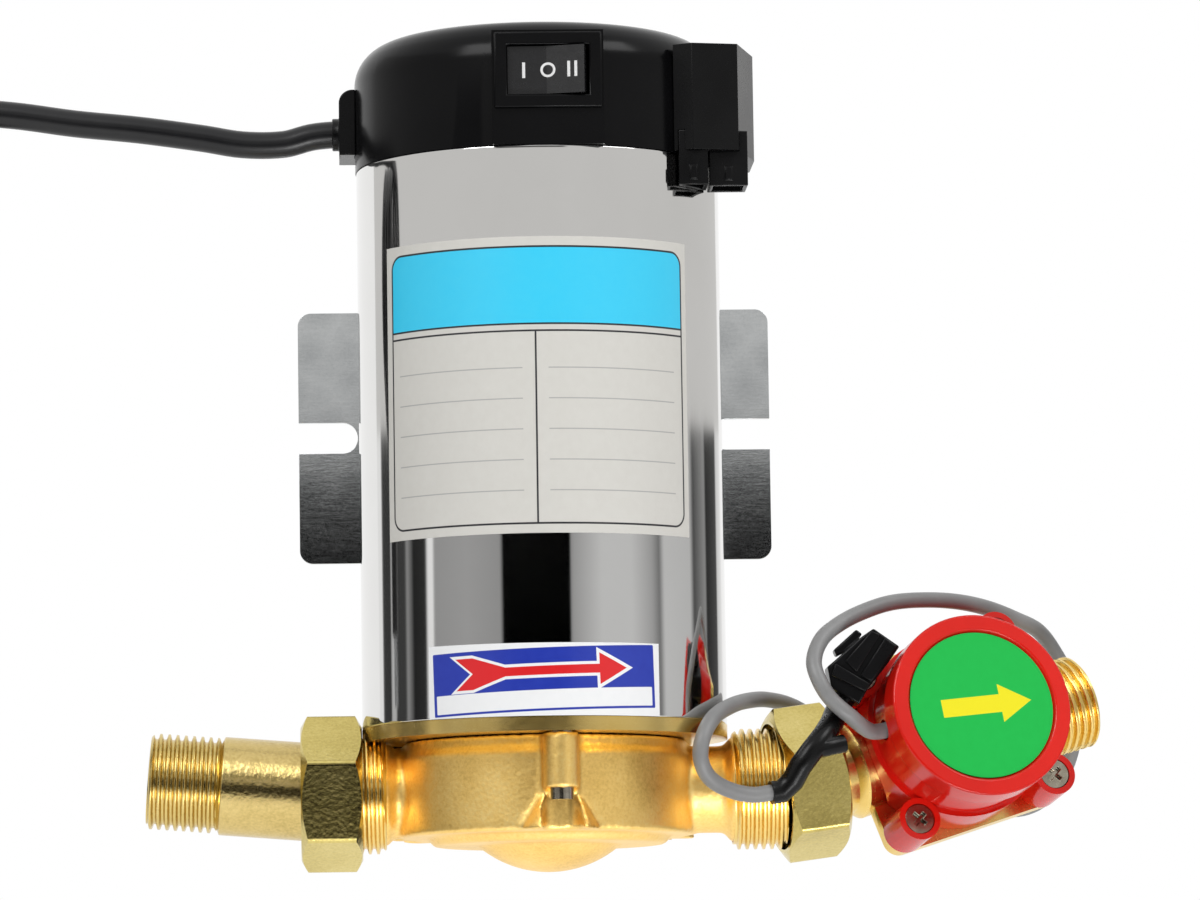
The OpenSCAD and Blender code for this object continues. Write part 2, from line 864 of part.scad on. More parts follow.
module rounded_square(w, d, r) {
  square([w - 2 * r, d], center = true);
  square([w, d - 2 * r], center = true);
  for (x = [-1, 1])
    for (y = [-1, 1])
      translate([x * (w / 2 - r), y * (d / 2 - r)]) circle(r = r);
}

module mains_plug() {
  color("black")
    placed()
      translate([tail_top[0], tail_top[1], tail_foot_z]) {
        at(-relief_l)
          cylinder(r1 = relief_r, r2 = cord_r + tie_t / 2, h = relief_l);
        at(-relief_l - plug_l)
          linear_extrude(plug_l) rounded_square(plug_w, plug_d, plug_corner_r);
      }
}

module plug_pins() {
  color("silver")
    placed()
      translate([tail_top[0], tail_top[1], tail_foot_z - relief_l - plug_l - pin_l]) {
        for (x = [-1, 1])
          translate([x * blade_apart / 2 - blade[0] / 2, blade_y - blade[1] / 2, 0])
            cube([blade[0], blade[1], pin_l]);
        translate([0, ground_y, 0]) cylinder(r = ground_r, h = pin_l);
      }
}

module cap_screws() {
  color("silver")
    placed()
      for (a = cap_screw_angles)
        at(screw_z)
          rotate([0, 90, a]) {
            at(shell_r) cylinder(r = cap_screw_head_r, h = cap_screw_head_h);
            at(shell_r - cap_screw_reach)
              cylinder(r = cap_screw_r, h = cap_screw_reach);
          }
}

// Motor inside

module run_capacitor() {
  color("lightgray")
    placed()
      translate([capacitor_x, capacitor_y, capacitor_z]) {
        cylinder(r = capacitor_r, h = capacitor_h);
        for (x = [-1, 1])
          translate([x * capacitor_tab[2] - capacitor_tab[0] / 2, -capacitor_tab[1] / 2,
            capacitor_h])
            cube([capacitor_tab[0], capacitor_tab[1], capacitor_tab[2]]);
      }
}

module control_board() {
  color("darkgreen")
    placed()
      translate([-board_plan[0] / 2, board_middle_y - board_plan[1] / 2, board_z])
        cube([board_plan[0], board_plan[1], board_t]);
}

module relay() {
  color("royalblue")
    placed()
      translate([relay_place[0], relay_place[1], board_top])
        cube([relay_size[0], relay_size[1], relay_size[2]]);
}

module terminal_block() {
  color("seagreen")
    placed()
      translate([terminal_place[0], terminal_place[1], board_top])
        cube([terminal_size[0], terminal_size[1], terminal_size[2]]);
}

module end_bell() {
  color("gray")
    placed()
      difference() {
        union() {
          at(stack_z + stack_h)
            ring(stator_r, stator_r - bell_wall, bell_disc_z - stack_z - stack_h + slip);
          at(bell_disc_z) cylinder(r = stator_r, h = bell_disc_t);
          at(bell_disc_z - bell_hub_h) cylinder(r = bell_hub_r, h = bell_hub_h + slip);
          translate([capacitor_x, capacitor_y, bell_disc_z + bell_disc_t - slip])
            ring(capacitor_r + collar_wall + wire_gap, capacitor_r + wire_gap, collar_h);
        }
        at(bell_disc_z - bell_hub_h - overrun)
          cylinder(r = can_boss_r + slide_fit, h = bell_hub_h + bell_disc_t - can_lid_t + overrun);
      }
}

module slots(extra, z0, h) {
  for (i = [0 : slot_count - 1])
    rotate([0, 0, 360 * i / slot_count])
      translate([slot_in_r + extra, -slot_width / 2 + extra, z0])
        cube([slot_out_r - slot_in_r - 2 * extra, slot_width - 2 * extra, h]);
}

module stator_core() {
  color("slategray")
    placed()
      difference() {
        at(stack_z) ring(stator_r, stator_in_r, stack_h);
        slots(0, stack_z - overrun, stack_h + 2 * overrun);
      }
}

module stator_windings() {
  color("peru")
    placed() {
      slots(wire_gap, stack_z - wire_gap - slip, stack_h + 2 * wire_gap + 2 * slip);
      for (z = [stack_z - wire_gap - end_turn_h, stack_z + stack_h + wire_gap])
        at(z)
          ring(slot_out_r + wire_gap, slot_in_r - wire_gap, end_turn_h);
    }
}

module rotor_can() {
  base = body_top + bearing_disc_t;
  color("silver")
    placed()
      difference() {
        union() {
          at(base) cylinder(r = can_flange_r, h = can_flange_t);
          at(base) cylinder(r = can_r, h = can_top - base);
          at(can_top - slip) cylinder(r = can_boss_r, h = can_boss_h + slip);
        }
        at(base - overrun)
          cylinder(r = can_r - can_wall, h = can_top - base - can_wall + overrun);
        at(can_top - overrun)
          cylinder(r = bearing_r + slide_fit, h = can_boss_h - can_lid_t + overrun);
      }
}

module rotor_core() {
  r = can_r - can_wall - rotor_gap;
  color("silver")
    placed()
      at(stack_z + rotor_short) ring(r, shaft_r, stack_h - 2 * rotor_short);
}

module rotor_shaft() {
  color("lightgray")
    placed() {
      at(impeller_top) cylinder(r = shaft_r, h = shaft_top - impeller_top);
      at(-spindle_below) cylinder(r = spindle_r, h = impeller_top + spindle_below + slip);
    }
}

module upper_bearing() {
  color("darkslategray")
    placed() at(upper_bearing_z) ring(bearing_r, shaft_r + run_fit, upper_bearing_h);
}

module lower_bearing() {
  color("darkslategray")
    placed() at(lower_bearing_z) ring(bearing_r, shaft_r + run_fit, lower_bearing_h);
}

module bearing_plate() {
  color("gainsboro")
    placed()
      difference() {
        union() {
          at(body_top) cylinder(r = can_flange_r, h = bearing_disc_t);
          at(body_top - hub_floor_t)
            cylinder(r = hub_r, h = bearing_hub_top + hub_floor_t);
        }
        at(body_top)
          cylinder(r = bearing_r + slide_fit, h = bearing_hub_top + overrun);
        at(body_top - hub_floor_t - overrun)
          cylinder(r = shaft_hole_r, h = hub_floor_t + 2 * overrun);
        for (a = [0 : 60 : 300])
          rotate([0, 0, a])
            translate([vent_circle_r, 0, body_top - overrun])
              cylinder(r = vent_r, h = bearing_disc_t + 2 * overrun);
      }
}

module flange_plate() {
  color("goldenrod")
    placed()
      difference() {
        union() {
          at(body_top) cylinder(r = shell_r, h = flange_h);
          at(body_top) cylinder(r = spigot_r, h = flange_h + flange_spigot_h);
        }
        at(body_top - overrun)
          cylinder(r = can_flange_r + slip, h = clamp_t + overrun);
        at(body_top)
          cylinder(r = can_r + slip, h = flange_h + flange_spigot_h + overrun);
        bolt_holes(bolt_r + bolt_clear, body_top - overrun, flange_h + flange_spigot_h + 2 * overrun);
      }
}

// Pump end

module bolt_holes(r, z0, h) {
  for (a = bolt_angles)
    rotate([0, 0, a])
      translate([bolt_circle_r, 0, z0]) cylinder(r = r, h = h);
}

module body_bolts() {
  head_z = flange_top + flange_spigot_h;
  color("silver")
    placed() {
      bolt_holes(bolt_head_r, head_z, bolt_head_h);
      bolt_holes(bolt_r, body_top - bolt_tip, head_z - body_top + bolt_tip + slip);
    }
}

module body_oring() {
  color("black")
    placed()
      at(body_top - groove_depth + oring_r + skin_gap)
        rotate_extrude()
          translate([groove_mid_r, 0]) circle(r = oring_r, $fn = 32);
}

module impeller() {
  color("ivory")
    placed()
      difference() {
        union() {
          at(impeller_z) cylinder(r = impeller_hub_r, h = impeller_h);
          at(impeller_top - impeller_disc_t)
            cylinder(r = impeller_r, h = impeller_disc_t);
          at(impeller_z) ring(impeller_r, impeller_eye_r, impeller_disc_t);
          intersection() {
            at(impeller_z) ring(impeller_r, impeller_eye_r - vane_t, impeller_h);
            for (i = [0 : impeller_vanes - 1])
              rotate([0, 0, 360 * i / impeller_vanes])
                translate([impeller_eye_r - vane_t, 0, impeller_z])
                  rotate([0, 0, vane_lean])
                    cube([impeller_r, vane_t, impeller_h]);
          }
        }
        at(impeller_z - overrun)
          cylinder(r = spindle_r + run_fit, h = impeller_h + 2 * overrun);
      }
}

module impeller_nut() {
  color("silver")
    placed()
      difference() {
        at(impeller_z - nut_small_h)
          cylinder(r = nut_small_flats / 2 / cos(30), h = nut_small_h, $fn = 6);
        at(impeller_z - nut_small_h - overrun)
          cylinder(r = spindle_r + run_fit, h = nut_small_h + 2 * overrun);
      }
}

// A port's neck and thread along X, from the arm out to its face
module port(reach) {
  start = reach - port_thread_l;
  translate([start - port_neck_l, 0, 0])
    rotate([0, 90, 0]) cylinder(r1 = arm_r, r2 = port_root_r, h = port_neck_l);
  translate([reach, 0, 0])
    rotate([0, -90, 0]) ridges(port_r, port_root_r, port_thread_l, ridge_lead);
}

module boss(a) {
  rotate([0, 0, a])
    difference() {
      union() {
        translate([bolt_circle_r, 0, boss_bottom])
          cylinder(r = boss_r, h = body_top - boss_bottom);
        translate([bolt_circle_r / 2, -boss_r, boss_bottom])
          cube([bolt_circle_r / 2, 2 * boss_r, body_top - boss_bottom]);
        translate([bolt_circle_r - bell_foot_in, 0, drum_bottom])
          cylinder(r1 = bell_foot_r, r2 = boss_r, h = boss_bottom - drum_bottom);
      }
      translate([bolt_circle_r, 0, drum_bottom])
        cylinder(r = notch_r, h = boss_bottom - drum_bottom);
    }
}

module pump_body() {
  color("peru")
    placed()
      difference() {
        union() {
          at(drum_bottom) cylinder(r = drum_r, h = body_top - seat_h - drum_bottom);
          cylinder(r = seat_r, h = body_top);
          bar_x(arm_r, -inlet_x + port_thread_l, outlet_x - port_thread_l);
          port(outlet_x);
          mirror([1, 0, 0]) port(inlet_x);
          for (a = bolt_angles) boss(a);
          translate([disc_x, 0, disc_bottom]) cylinder(r = disc_r, h = disc_rise);
          intersection() {
            translate([disc_x, 0, dome_r - dome_drop]) sphere(r = dome_r);
            translate([disc_x, 0, -dome_drop])
              cylinder(r = disc_r, h = dome_drop + drum_bottom);
          }
        }
        at(chamber_floor) cylinder(r = chamber_r, h = body_top);
        at(body_top) cylinder(r = cap_r, h = port_r);
        at(-floor_t) cylinder(r = eye_r, h = 2 * floor_t);
        at(chamber_floor - floor_t - suction_h) cylinder(r = suction_r, h = suction_h);
        translate([0, 0, -duct_drop])
          bar_x(duct_r, -inlet_x + port_thread_l + duct_r, -suction_r / 2);
        bar_x(port_bore_r, -inlet_x - overrun, -inlet_x + port_thread_l + 2 * duct_r);
        bar_x(port_bore_r, outlet_bore_start, outlet_x + overrun);
        at(body_top - groove_depth)
          ring(groove_mid_r + groove_w / 2, groove_mid_r - groove_w / 2, groove_depth + overrun);
        bolt_holes(bolt_r + run_fit, drum_bottom - overrun, body_top - drum_bottom + 2 * overrun);
      }
}

// Unions

module union_nut() {
  point_r = nut_flats / 2 / cos(30);
  far_r = point_r + slip;
  chamfer = (far_r - nut_face_r) * tan(30);
  tap_r = port_r + nut_crest_gap;
  minor_r = port_root_r + nut_crest_gap / 2;
  color("sandybrown")
    difference() {
      intersection() {
        rotate([0, 0, nut_turn]) cylinder(r = point_r, h = nut_l, $fn = 6);
        union() {
          cylinder(r1 = nut_face_r, r2 = far_r, h = chamfer);
          at(chamfer) cylinder(r = far_r, h = nut_l - 2 * chamfer);
          at(nut_l - chamfer) cylinder(r1 = far_r, r2 = nut_face_r, h = chamfer);
        }
      }
      at(-overrun) cylinder(r = port_r + nut_recess_gap, h = nut_recess_l + overrun);
      at(nut_recess_l - ridge_lead / 2) nut_thread(tap_r, minor_r);
      at(nut_thread_end) cylinder(r = nut_cavity_r, h = nut_lip_start - nut_thread_end);
      cylinder(r = nut_lip_r, h = nut_l + overrun);
    }
}

// The nut's grooves, which face the port's ridges with play all round
module nut_thread(r, root) {
  h = nut_thread_end - nut_recess_l + ridge_lead / 2;
  phase = inlet_x - nut_mouth_x - ridge_lead - nut_recess_l + ridge_lead / 2;
  crest = thread_pitch * crest_share / 2 + nut_crest_gap;
  flank = thread_pitch * flank_share;
  cylinder(r = root, h = h + overrun);
  intersection() {
    rotate_extrude()
      for (i = [0 : 2]) {
        mid = phase + i * thread_pitch;
        polygon([[root - overrun, mid - crest - flank], [root, mid - crest - flank],
          [r, mid - crest], [r, mid + crest], [root, mid + crest + flank],
          [root - overrun, mid + crest + flank]]);
      }
    cylinder(r = r + overrun, h = h);
  }
}

module inlet_nut() {
  placed()
    translate([-nut_mouth_x, 0, 0]) rotate([0, -90, 0]) union_nut();
}

module outlet_nut() {
  placed()
    translate(outlet_nut_place + [outlet_x, 0, 0])
      rotate([0, 90 - outlet_nut_rise, outlet_nut_yaw]) union_nut();
}

// Puts children on the inlet tailpiece's own axis, which runs along -X
module on_tail() {
  translate([-inlet_x - pivot_past_port, 0, pivot_rise])
    rotate([0, tail_tilt, 0])
      children();
}

module inlet_gasket() {
  color("black")
    placed()
      difference() {
        bar_x(gasket_r, -inlet_x - 3 * gasket_t, -inlet_x);
        bar_x(tail_bore_r, -inlet_x - 4 * gasket_t, -inlet_x + overrun);
        on_tail()
          translate([union_collar_t / 2 - 6 * gasket_t, -gasket_r * 2, -gasket_r * 2])
            cube([6 * gasket_t, gasket_r * 4, gasket_r * 4]);
      }
}

module inlet_tailpiece() {
  color("goldenrod")
    placed()
      on_tail()
        difference() {
          union() {
            bar_x(union_collar_r, -union_collar_t / 2, union_collar_t / 2);
            bar_x(tail_r, -tail_l + tail_thread_l, 0);
            translate([-tail_l, 0, 0])
              rotate([0, 90, 0])
                ridges(end_thread_r, end_thread_r - thread_depth, tail_thread_l + slip, ridge_lead);
          }
          bar_x(tail_bore_r, -tail_l - overrun, union_collar_t);
        }
}

// Puts children in the flow switch's frame, at the tube's collar
module on_tube() {
  translate(tube_place + [outlet_x, 0, 0])
    rotate([-tube_roll, -tube_rise, tube_yaw])
      rotate([90, 0, 0])
        children();
}

module on_housing() {
  on_tube() translate([housing_place, 0, 0]) children();
}

module lugs(r, z0, h) {
  rotate([0, 0, lug_turn])
    for (x = [-1, 1])
      for (y = [-1, 1])
        translate([x * lug_place, y * lug_place, z0]) cylinder(r = r, h = h);
}

module outlet_gasket() {
  color("black")
    placed()
      on_tube()
        difference() {
          bar_x(loose_gasket_r, -union_collar_t / 2 - gasket_t, -union_collar_t / 2);
          bar_x(tail_bore_r, -4 * gasket_t, overrun);
        }
}

module switch_tube() {
  color("goldenrod")
    placed()
      on_tube()
        difference() {
          union() {
            bar_x(union_collar_r, -union_collar_t / 2, union_collar_t / 2);
            bar_x(tube_neck_r, 0, tube_neck_l + slip);
            translate([tube_neck_l, 0, 0])
              rotate([0, 90, 0])
                cylinder(r1 = tube_neck_r, r2 = barrel_r, h = tube_shoulder_l);
            bar_x(barrel_r, tube_neck_l + tube_shoulder_l, tube_l - tube_thread_l);
            translate([tube_l, 0, 0])
              rotate([0, -90, 0])
                ridges(end_thread_r, end_thread_r - thread_depth, tube_thread_l + slip, ridge_lead);
            translate([housing_place, 0, plate_z])
              rotate([0, 0, lug_turn])
                linear_extrude(plate_t)
                  rounded_square(2 * plate_half, 2 * plate_half, plate_corner_r);
          }
          bar_x(tube_bore_r, -union_collar_t, tube_l + overrun);
          translate([housing_place, 0, 0])
            lugs(housing_screw_r, screw_tip_z, plate_z + plate_t);
        }
}

module switch_housing() {
  color("firebrick")
    placed()
      on_housing()
        difference() {
          union() {
            at(housing_z) cylinder(r = housing_r, h = housing_step_z - housing_z);
            at(housing_z) cylinder(r = housing_top_r, h = housing_top - housing_z);
            lugs(lug_r, housing_z, lug_top_z - housing_z);
          }
          at(housing_floor_z)
            cylinder(r = housing_top_r - housing_wall, h = housing_top);
          bar_x(barrel_r + slide_fit, -2 * housing_r, 2 * housing_r);
          lugs(housing_screw_r + slip, 0, housing_top);
          lugs(housing_screw_head_r + slip, screw_seat_z, housing_top);
          translate([0, reed_hole_y, reed_hole_z])
            bar_x(reed_hole_r, -2 * housing_r, -housing_top_r / 2);
        }
}

module switch_cap() {
  r = housing_top_r + switch_cap_extra_r;
  color("firebrick")
    placed()
      on_housing()
        difference() {
          at(housing_top) cylinder(r = r, h = switch_cap_h);
          at(housing_top + switch_cap_h - switch_cap_recess)
            cylinder(r = r - switch_cap_rim, h = overrun + switch_cap_recess);
        }
}

module switch_label() {
  r = housing_top_r + switch_cap_extra_r - switch_cap_rim - disc_t;
  color("seagreen")
    placed()
      on_housing()
        at(housing_top + switch_cap_h - switch_cap_recess) cylinder(r = r, h = disc_t);
}

module housing_screws() {
  color("silver")
    placed()
      on_housing()
        difference() {
          union() {
            lugs(housing_screw_r, screw_tip_z, screw_seat_z - screw_tip_z + slip);
            lugs(housing_screw_head_r, screw_seat_z, housing_screw_head_t);
          }
          rotate([0, 0, lug_turn])
            for (x = [-1, 1])
              for (y = [-1, 1])
                translate([x * lug_place, y * lug_place, screw_seat_z + housing_screw_head_t])
                  for (a = [30, 120])
                    rotate([0, 0, a])
                      cube([cross_l, cross_w, 2 * cross_depth], center = true);
        }
}

module flow_shuttle() {
  color("dimgray")
    placed()
      on_tube()
        difference() {
          bar_x(tube_bore_r - slide_fit, shuttle_x, shuttle_x + shuttle_l);
          bar_x(shuttle_bore_r, shuttle_x - overrun, shuttle_x + shuttle_l + overrun);
        }
}

module shuttle_spring() {
  start = shuttle_x + shuttle_l;
  color("silver")
    placed()
      on_tube()
        difference() {
          bar_x(spring_out_r, start, start + spring_l);
          bar_x(spring_in_r, start - overrun, start + spring_l + overrun);
        }
}

module shuttle_stop() {
  start = shuttle_x + shuttle_l + spring_l;
  color("silver")
    placed()
      on_tube()
        difference() {
          bar_x(tube_bore_r, start, start + stop_t);
          bar_x(stop_bore_r, start - overrun, start + stop_t + overrun);
        }
}

module reed_board() {
  color("darkgreen")
    placed()
      on_housing()
        translate([-reed_l / 2, -reed_w / 2, barrel_r + wire_gap])
          cube([reed_l, reed_w, reed_t]);
}

module signal_cable() {
  color("gray") placed() sweep(cable_route, cable_r, 8);
}

module cable_boot() {
  color("black")
    placed() {
      sweep(boot_route, boot_r, 12);
      sweep(branch_route, branch_r, 12);
    }
}

module signal_plug() {
  color("black")
    placed() {
      translate([0, plug_back, 0])
        rotate([90, 0, 0])
          linear_extrude(plug_back - plug_front) polygon(plug_outline);
      translate([0, plug_back - lever_in, 0])
        rotate([90, 0, 0])
          linear_extrude(plug_back - plug_front - 2 * lever_in) polygon(lever_outline);
    }
}

// Bracket and labels

// The bracket before its outline is cut: saddle, two ramps and two ears
module bracket_strip() {
  out_r = shell_r + bracket_t;
  out_y = sqrt(out_r * out_r - saddle_half_w * saddle_half_w);
  in_y = sqrt(shell_r * shell_r - saddle_half_w * saddle_half_w);
  lap_x = saddle_half_w - bracket_t / 2;
  lap_y = (sqrt(out_r * out_r - lap_x * lap_x) + sqrt(shell_r * shell_r - lap_x * lap_x)) / 2;
  intersection() {
    ring(out_r, shell_r, bracket_h);
    translate([-saddle_half_w, 0, -overrun])
      cube([2 * saddle_half_w, 2 * out_r, bracket_h + 2 * overrun]);
  }
  for (side = [0, 1])
    mirror([side, 0, 0])
      linear_extrude(bracket_h)
        polygon([[saddle_half_w, in_y + slip], [lap_x, lap_y - slip],
          [lap_x, lap_y + slip], [saddle_half_w, out_y - slip],
          [ear_start, axis_to_wall], [bracket_w / 2, axis_to_wall],
          [bracket_w / 2, ear_y], [ear_start + bracket_t / 2, ear_y]]);
}

module wall_bracket() {
  color("silver")
    placed()
      difference() {
        intersection() {
          at(slot_height - bracket_h / 2) bracket_strip();
          translate([0, 2 * axis_to_wall, slot_height])
            rotate([90, 0, 0])
              linear_extrude(2 * axis_to_wall)
                rounded_square(bracket_w, bracket_h, bracket_corner_r);
        }
        for (s = [-1, 1])
          translate([s * (slot_end + slot_r), axis_to_wall + overrun, slot_height])
            rotate([90, 0, 0]) {
              cylinder(r = slot_r, h = bracket_t + 2 * overrun);
              translate([s > 0 ? 0 : -bracket_w, -slot_r, 0])
                cube([bracket_w, slot_w, bracket_t + 2 * overrun]);
            }
      }
}

module rating_label() {
  color("silver")
    placed()
      sector(shell_r + skin_gap + label_t, shell_r + skin_gap, rating_foot, rating_h,
        rating_start_angle, rating_end_angle);
}

module arrow_label() {
  color("ghostwhite")
    placed()
      sector(shell_r + skin_gap + label_t, shell_r + skin_gap, flange_top + slip,
        arrow_label_h, arrow_start_angle, arrow_end_angle);
}

motor_shell();
top_cap();
switch_body();
rocker();
connector_box();
socket_left();
socket_right();
cord_gland();
mains_cord();
cord_coil();
cord_tail();
cord_tie();
mains_plug();
plug_pins();
cap_screws();
run_capacitor();
control_board();
relay();
terminal_block();
end_bell();
stator_core();
stator_windings();
rotor_can();
rotor_core();
rotor_shaft();
upper_bearing();
lower_bearing();
bearing_plate();
flange_plate();
body_bolts();
body_oring();
impeller();
impeller_nut();
pump_body();
inlet_nut();
outlet_nut();
inlet_gasket();
inlet_tailpiece();
outlet_gasket();
switch_tube();
switch_housing();
switch_cap();
switch_label();
housing_screws();
flow_shuttle();
shuttle_spring();
shuttle_stop();
reed_board();
signal_cable();
cable_boot();
signal_plug();
wall_bracket();
rating_label();
arrow_label();
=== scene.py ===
import math

import bmesh
import bpy
import numpy as np
from mathutils import Matrix


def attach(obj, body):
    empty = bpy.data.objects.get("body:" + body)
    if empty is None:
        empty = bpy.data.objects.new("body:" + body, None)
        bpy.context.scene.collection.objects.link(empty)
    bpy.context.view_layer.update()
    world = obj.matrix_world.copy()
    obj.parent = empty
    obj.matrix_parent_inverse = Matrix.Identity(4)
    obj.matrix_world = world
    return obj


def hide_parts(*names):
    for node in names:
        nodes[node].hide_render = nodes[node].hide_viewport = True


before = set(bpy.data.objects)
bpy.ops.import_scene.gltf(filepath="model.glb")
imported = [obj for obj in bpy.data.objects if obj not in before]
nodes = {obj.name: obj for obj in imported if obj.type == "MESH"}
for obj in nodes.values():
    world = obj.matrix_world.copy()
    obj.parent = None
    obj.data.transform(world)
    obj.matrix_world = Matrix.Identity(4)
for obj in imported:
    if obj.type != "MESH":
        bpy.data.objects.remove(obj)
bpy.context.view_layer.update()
print("frame loaded:", len(nodes), "nodes")

# Everything below is laid out in millimetres about the motor's own axis, with z 0 at the ports.
wallGap, slotHeight = 44.5, 83.2
toRow = np.array([0.0, -wallGap, -slotHeight])


def rowPlace(points):
    return (np.asarray(points, float) + toRow) / 1000


def unit(v):
    v = np.asarray(v, float)
    return v / np.linalg.norm(v)


# Camera.
cameraFit = {"place": (-0.044829, -1.424948, -0.160102), "lens": 189.21, "roll": 0.87,
             "forward": (0.041625, 0.993128, 0.109390), "right": (0.999123, -0.041876, 0.0),
             "up": (-0.004581, -0.109294, 0.994)}
roll = math.radians(cameraFit["roll"])
rightAxis, upAxis = np.array(cameraFit["right"]), np.array(cameraFit["up"])
axes = (math.cos(roll) * rightAxis - math.sin(roll) * upAxis,
        math.sin(roll) * rightAxis + math.cos(roll) * upAxis, -np.array(cameraFit["forward"]))
cameraData = bpy.data.cameras.new("camera")
cameraData.lens, cameraData.sensor_width = cameraFit["lens"], 36
cameraData.clip_start, cameraData.clip_end = 0.05, 50
camera = bpy.data.objects.new("camera", cameraData)
turned = Matrix([[axes[c][r] for c in range(3)] for r in range(3)]).to_4x4()
turned.translation = cameraFit["place"]
camera.matrix_world = turned
bpy.context.scene.collection.objects.link(camera)
bpy.context.scene.camera = camera
print("camera set")


# Shader workshop.
class Wire:
    # One output socket; python's own operators on it add Math nodes.
    def __init__(self, shop, socket):
        self.shop, self.socket = shop, socket

    def maths(self, operation, *values):
        return self.shop.make("ShaderNodeMath", {"operation": operation}, dict(enumerate(values)))

    def __add__(self, other): return self.maths("ADD", self, other)
    def __radd__(self, other): return self.maths("ADD", other, self)
    def __sub__(self, other): return self.maths("SUBTRACT", self, other)
    def __rsub__(self, other): return self.maths("SUBTRACT", other, self)
    def __mul__(self, other): return self.maths("MULTIPLY", self, other)
    def __rmul__(self, other): return self.maths("MULTIPLY", other, self)
    def __truediv__(self, other): return self.maths("DIVIDE", self, other)
    def __rtruediv__(self, other): return self.maths("DIVIDE", other, self)
    def __abs__(self): return self.maths("ABSOLUTE", self)
    def __neg__(self): return self.maths("MULTIPLY", self, -1.0)

    def lower(self, other): return self.maths("MINIMUM", self, other)
    def upper(self, other): return self.maths("MAXIMUM", self, other)
    def root(self): return self.maths("SQRT", self)

    def soft(self, edge):
        # 0 well below nought, 1 well above it, with a ramp as wide as edge between
        return self.shop.make("ShaderNodeMath", {"operation": "MULTIPLY_ADD", "use_clamp": True},
                              {0: self, 1: 1.0 / edge, 2: 0.5})


class Shop:
    # One material's node tree.
    def __init__(self, name):
        self.material = bpy.data.materials.new(name)
        self.material.use_nodes = True
        self.tree = self.material.node_tree
        self.surface = next(n for n in self.tree.nodes if n.type == "BSDF_PRINCIPLED")
        self.output = next(n for n in self.tree.nodes if n.type == "OUTPUT_MATERIAL")

    def feed(self, socket, value):
        if isinstance(value, Wire):
            self.tree.links.new(value.socket, socket)
        elif isinstance(value, (tuple, list)) and socket.type == "RGBA" and len(value) == 3:
            socket.default_value = (*value, 1.0)
        else:
            socket.default_value = value

    def make(self, kind, settings=None, values=None, output=0):
        node = self.tree.nodes.new(kind)
        for key, value in (settings or {}).items():
            if key == "stops":
                ramp = node.color_ramp
                while len(ramp.elements) > 1:
                    ramp.elements.remove(ramp.elements[-1])
                for i, (at, colour) in enumerate(value):
                    stop = ramp.elements[0] if i == 0 else ramp.elements.new(at)
                    stop.position = at
                    stop.color = (*colour, 1.0) if isinstance(colour, (tuple, list)) else (*(colour,) * 3, 1.0)
            else:
                setattr(node, key, value)
        for key, value in (values or {}).items():
            self.feed(node.inputs[key], value)
        return Wire(self, node.outputs[output])

    def mix(self, factor, first, second):
        return self.make("ShaderNodeMix", {"data_type": "RGBA"}, {0: factor, 6: first, 7: second}, 2)

    def place(self):
        return self.make("ShaderNodeTexCoord", {}, {}, "Object")

    def parts(self, vector):
        return tuple(self.make("ShaderNodeSeparateXYZ", {}, {0: vector}, i) for i in range(3))

    def stretched(self, scale, turn=(0, 0, 0)):
        return self.make("ShaderNodeMapping", {}, {"Vector": self.place(), "Rotation": turn, "Scale": scale})

    def noise(self, scale, detail=3.0, rough=0.55, vector=None, twist=0.0):
        return self.make("ShaderNodeTexNoise", {"noise_dimensions": "3D"},
                         {"Vector": vector or self.place(), "Scale": scale, "Detail": detail, "Roughness": rough,
                          "Distortion": twist})

    def cells(self, scale):
        return self.make("ShaderNodeTexVoronoi", {}, {"Vector": self.place(), "Scale": scale})

    def between(self, factor, low, high):
        return self.make("ShaderNodeMapRange", {}, {0: factor, 1: 0.0, 2: 1.0, 3: low, 4: high})

    def bump(self, height, strength, distance, before=None):
        values = {"Strength": strength, "Distance": distance, "Height": height}
        if before is not None:
            values["Normal"] = before
        return self.make("ShaderNodeBump", {}, values)

    def finish(self, **values):
        for key, value in values.items():
            self.feed(self.surface.inputs[key.replace("_", " ")], value)
        return self.material

    def showThrough(self, factor, surface):
        # clear where the factor is 1, so that a camera outside the studio still sees the pump
        clear = self.make("ShaderNodeBsdfTransparent")
        both = self.make("ShaderNodeMixShader", {}, {0: factor, 1: surface, 2: clear})
        self.tree.links.new(both.socket, self.output.inputs["Surface"])

    # pump millimetres of the point being shaded
    def pumpPlace(self):
        x, y, z = self.parts(self.place())
        return x * 1000.0, y * 1000.0 + wallGap, z * 1000.0 + slotHeight


def plainFinish(name, low, high, rough, metal=0.0, grain=900.0, height=0.00002, strength=0.4, spread=0.08,
                coat=0.0, patches=40.0, stretch=None, shine=0.5):
    # A moulded, drawn or sawn surface: colour drifts between two tones, roughness with it, and the normal has a grain.
    shop = Shop(name)
    where = shop.stretched(stretch) if stretch else shop.place()
    drift = shop.noise(patches, 4.0, 0.6, where)
    fine = shop.noise(grain, 2.0, 0.5, where)
    tone = shop.make("ShaderNodeValToRGB", {"stops": [(0.3, low), (0.7, high)]}, {0: drift})
    gloss = shop.between(drift * 0.6 + fine * 0.4, rough - spread, rough + spread)
    return shop.finish(Base_Color=tone, Metallic=metal, Roughness=gloss, Coat_Weight=coat, Specular_IOR_Level=shine,
                       Normal=shop.bump(fine, strength, height))


# Mesh workshop.
def gridFaces(rows, columns, closeRows, closeColumns):
    i = np.arange(rows if closeRows else rows - 1)[:, None]
    j = np.arange(columns if closeColumns else columns - 1)[None, :]
    a, b = i * columns + j, i * columns + (j + 1) % columns
    c, d = ((i + 1) % rows) * columns + (j + 1) % columns, ((i + 1) % rows) * columns + j
    return np.stack([a, b, c, d], -1).reshape(-1, 4)


